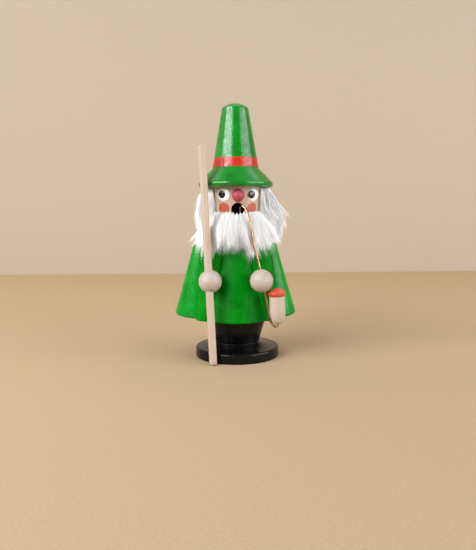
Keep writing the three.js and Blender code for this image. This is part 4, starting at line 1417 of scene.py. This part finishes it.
def strand_mesh(rng, paths):
    """Three-sided tapering tubes along the paths: vertices, faces and how far along each vertex lies."""
    count, rows = paths.shape[:2]
    tangents = unit(np.gradient(paths, axis=1))
    aim = rng.normal(0, 1, (count, 1, 3))
    side = unit(np.cross(tangents, aim))
    other = np.cross(tangents, side)
    share = np.linspace(0, 1, rows)
    width = STRAND_WIDTH / 2 * (1 - STRAND_TAPER * share ** STRAND_TAPER_POWER)
    thick = rng.uniform(*THICKNESS_RANGE, (count, 1, 1))
    rings = []
    for corner in range(3):
        angle = 2 * math.pi * corner / 3
        off = math.cos(angle) * side[:, :-1] + math.sin(angle) * other[:, :-1]
        rings.append(paths[:, :-1] + off * width[None, :-1, None] * thick)
    body = np.stack(rings, axis=2).reshape(count, -1, 3)
    verts = np.concatenate([body, paths[:, -1:]], axis=1)
    per_strand = verts.shape[1]
    pattern = [(2, 1, 0)]
    for row in range(rows - 2):
        for corner in range(3):
            nxt = (corner + 1) % 3
            low_row = 3 * row
            high_row = low_row + 3
            pattern.append((low_row + corner, low_row + nxt, high_row + nxt, high_row + corner))
    last = 3 * (rows - 2)
    pattern += [(last + corner, last + (corner + 1) % 3, per_strand - 1) for corner in range(3)]
    starts = range(0, count * per_strand, per_strand)
    faces = [tuple(start + i for i in face) for start in starts for face in pattern]
    along = np.concatenate([np.repeat(share[:-1], 3), [1]])
    return verts.reshape(-1, 3), faces, np.tile(along, count), per_strand


def in_cells(count, columns, pattern):
    """The pattern repeated in the cells of a grid, row by row."""
    index = np.arange(count)
    corners = np.column_stack([index % columns, index // columns])
    return (corners[:, None] + np.array(pattern)[None]).reshape(-1, 2)


def strand_map(count, dense_count):
    """A flat place for every strand on the bake's map, and a strip below them for the undercoat's faces."""
    levels = np.linspace(MAP_FOOT, MAP_TOP, FUR_SEGMENTS + 1)
    sides = [((corner + MAP_MARGIN) / 3, (corner + 1 - MAP_MARGIN) / 3) for corner in range(3)]
    pattern = list(MAP_ROOT)
    for foot, top in zip(levels[:-2], levels[1:-1]):
        for left, right in sides:
            pattern += [(left, foot), (right, foot), (right, top), (left, top)]
    for left, right in sides:
        pattern += [(left, levels[-2]), (right, levels[-2]), ((left + right) / 2, levels[-1])]
    columns = math.ceil(math.sqrt(count))
    places = in_cells(count, columns, pattern) / columns
    places[:, 1] = MAP_STRIP + places[:, 1] * (1 - MAP_STRIP)
    tall = math.ceil(dense_count / MAP_COLUMNS)
    dense_size = (1 / MAP_COLUMNS, MAP_TOP * MAP_STRIP / tall)
    return np.concatenate([places, in_cells(dense_count, MAP_COLUMNS, MAP_PATCH) * dense_size])


def white_fur():
    """White hair: painted shade makes it darker near the skin, and it is a little different lock by lock.
    """
    finish = Finish("white_fur", IOR=1.45, Sheen_Weight=0.3, Sheen_Roughness=0.5)
    tone = finish.add("ShaderNodeAttribute", {"attribute_name": "fur_tone_and_painted_shade"}).outputs["Fac"]
    clouds = finish.noise(finish.place, scale=160, detail=3)
    shade = finish.weighed(tone, 0.8, clouds, 0.3)
    # The grey end is painted shade at the roots
    grey, pale, white = tint(227, 223, 219, 1), tint(246, 243, 240, 1), tint(255, 253, 250, 1)
    colour = finish.ramp(shade, [(0.1, grey), (0.45, pale), (0.8, white)])
    return finish.set(Base_Color=colour, Roughness=finish.spread(clouds, 0.3, 0.7, 0.48, 0.66))


FUR = white_fur()


def at_azimuths(degrees, radius, z):
    """Many points at once, by angle from the front."""
    angle = np.radians(degrees)
    return np.column_stack([radius * np.sin(angle), -radius * np.cos(angle), z])


def soft_normals(rng, verts, per_strand):
    """Normals that look out from the figure, so that strands shade as one soft coat."""
    out = unit(verts * (1, 1, 0))
    tilt = np.repeat(rng.normal(0, NORMAL_SPREAD, (len(verts) // per_strand, 3)), per_strand, axis=0)
    forward = NORMAL_FORWARD * ease(NORMAL_FRONT - out[:, 1])[:, None]
    return unit(out + tilt + forward * (0, -1, 0) + (0, 0, NORMAL_UP))


def fur_piece(rng, shape):
    """One tuft of fur, undercoat and strands, as a single piece that stands for a CAD node."""
    paths, lock = strand_paths(rng, shape)
    verts, faces, along, per_strand = strand_mesh(rng, paths)
    dense_verts, dense_faces = undercoat(shape)
    first = len(verts)
    places = strand_map(len(paths), len(dense_faces))
    faces += [tuple(first + i for i in face) for face in dense_faces]
    piece = mesh_object(shape.name, np.concatenate([verts, dense_verts]), faces)
    soft = np.concatenate([soft_normals(rng, verts, per_strand), np.zeros(dense_verts.shape)])
    piece.data.normals_split_custom_set_from_vertices(soft.tolist())
    lock_tone = rng.normal(0, LOCK_TONE, lock.max() + 1)[lock]
    tone = np.repeat(lock_tone + rng.normal(0, STRAND_TONE, len(paths)), per_strand)
    # Painted shade: each strand is painted darker at its root and lighter towards its tip
    tone += mixed(shape.painted_shade_root_tone, shape.painted_shade_root_tone + ROOT_TO_TIP_PAINTED_SHADE, along)
    dense_tone = np.full(len(dense_verts), shape.painted_shade_root_tone + UNDERCOAT_TONE)
    attribute = piece.data.attributes.new("fur_tone_and_painted_shade", "FLOAT", "POINT")
    attribute.data.foreach_set("value", np.concatenate([tone, dense_tone]).astype(np.float32))
    bake_map = piece.data.uv_layers.new(name="OFBake")
    bake_map.uv.foreach_set("vector", places.astype(np.float32).ravel())
    dress(piece, "figure", "white_fur", [FUR], [shape.node])


# Camera, floor and light
IMAGE_HEIGHT = 550
FOCAL_PIXELS = 540
SENSOR = 36
CAMERA_AT = (1, -370.14, 97.1)
CAMERA_PITCH = 6.4
CAMERA_ROLL = -0.5
WALL_BEHIND = 526
STAGE_HALF = 2400
LIGHT_TARGET = (0, 0, 80)
LAMP_COLOUR = (0.94, 0.99, 1.05)
WORLD_STRENGTH = 0.12

# Lamps: azimuth, elevation, distance, width, height and watts
LAMPS = {
    "left_softbox": (-50, 26, 0.9, 0.8, 0.5, 13.4),
    "right_softbox": (66, 14, 0.9, 0.9, 0.7, 9.6),
    "right_panel": (92, 34, 1.2, 3, 2, 5.5),
    "back_panel": (180, 66, 1.1, 2.4, 0.3, 3.4),
    "left_panel": (-98, 24, 1.2, 1.4, 0.8, 2.5),
    "ceiling_panel": (-6, 78, 1.3, 2.2, 2.2, 4),
}


def camera():
    data = bpy.data.cameras.new("camera")
    data.sensor_width = SENSOR
    data.lens = SENSOR * FOCAL_PIXELS / IMAGE_HEIGHT
    data.clip_start = 0.01
    thing = new_object("camera", data)
    tilt = Matrix.Rotation(math.radians(90 - CAMERA_PITCH), 4, "X")
    roll = Matrix.Rotation(math.radians(CAMERA_ROLL), 4, "Z")
    thing.matrix_world = Matrix.Translation(Vector(CAMERA_AT) * MM) @ tilt @ roll
    bpy.context.scene.camera = thing


def paper(name, front_tones, back_tones):
    """Plain pale card that goes from one pair of tones at the front to another at the back; on the floor
    the lighter back pair is painted light.
    """
    finish = Finish(name, Roughness=0.9, IOR=1.3)
    fibres = finish.noise(finish.place, scale=900, detail=4, roughness=0.7)
    depth = finish.add("ShaderNodeSeparateXYZ", Vector=finish.place).outputs["Y"]
    front = finish.ramp(fibres, [(0.3, front_tones[1]), (0.7, front_tones[0])])
    back = finish.ramp(fibres, [(0.3, back_tones[1]), (0.7, back_tones[0])])
    return finish.set(
        Base_Color=finish.mix(finish.spread(depth, -0.3, WALL_BEHIND * MM, 0, 1), front, back),
        Normal=finish.bump(fibres, 0.12, 0.1),
    )


def card(name, corners, material):
    """A flat sheet of the studio."""
    sheet = mesh_object(name, corners, [(0, 1, 2, 3)])
    sheet.data.materials.append(material)
    return sheet


def stage():
    half = STAGE_HALF
    wall = WALL_BEHIND
    near = (tint(213, 182, 146), tint(197, 166, 132))
    # Painted light: the far floor tones are lighter, painting brighter light towards the wall
    far = (tint(241, 206, 160), tint(234, 198, 152))
    plain = (tint(229, 206, 181), tint(223, 200, 175))
    on_floor = [(-half, -half, 0), (half, -half, 0), (half, wall, 0), (-half, wall, 0)]
    on_wall = [(-half, wall, 0), (half, wall, 0), (half, wall, half), (-half, wall, half)]
    floor = card("floor", on_floor, paper("floor_card_with_painted_light", near, far))
    backdrop = card("backdrop", on_wall, paper("backdrop_card", plain, plain))


def softbox(name, azimuth, elevation, distance, width, height, watts):
    """A large even light that looks at the figure: angles in degrees, lengths in metres."""
    data = bpy.data.lights.new(name, "AREA")
    data.shape = "RECTANGLE"
    data.size = width
    data.size_y = height
    data.energy = watts
    data.color = LAMP_COLOUR
    thing = new_object(name, data)
    level = math.cos(math.radians(elevation))
    way = Vector(at_azimuth(azimuth, level, math.sin(math.radians(elevation))))
    target = Vector(LIGHT_TARGET) * MM
    thing.location = target + way * distance
    thing.rotation_euler = (-way).to_track_quat("-Z", "Y").to_euler()


def light():
    for name, settings in LAMPS.items():
        softbox(name, *settings)
    world = bpy.data.worlds.new("room")
    world.use_nodes = True
    background = world.node_tree.nodes["Background"]
    background.inputs["Color"].default_value = tint(240, 232, 222, 1)
    background.inputs["Strength"].default_value = WORLD_STRENGTH
    bpy.context.scene.world = world


camera()
stage()
light()
base_disc()
leg_stem()
incense_plate()
plate_nail()
coat_body()
for limb_side, side_name in SIDE_NAMES.items():
    limb_piece(ARM, limb_side, side_name + "_side_arm", COAT_GREEN)
    limb_piece(SLEEVE, limb_side, side_name + "_side_sleeve", SLEEVE_GREEN_PAINTED_LIGHTER)
    hand(limb_side)
    for peg in ("_arm_dowel", "_sleeve_dowel", "_hand_peg"):
        peg_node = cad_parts[side_name + peg]
        peg_node.data.materials.clear()
        peg_node.data.materials.append(PEG_WOOD)
staff()
pipe_bowl()
pipe_lid()
pipe_wire()
head()
nose()
face_paint()
hat()
hat_band()
fur_rng = np.random.default_rng(FUR_SEED)
for fur_shape in (Beard(), Hair(STAFF_HAND_SIDE), Hair(PIPE_HAND_SIDE)):
    fur_piece(fur_rng, fur_shape)

bpy.context.scene.view_settings.view_transform = "Standard"
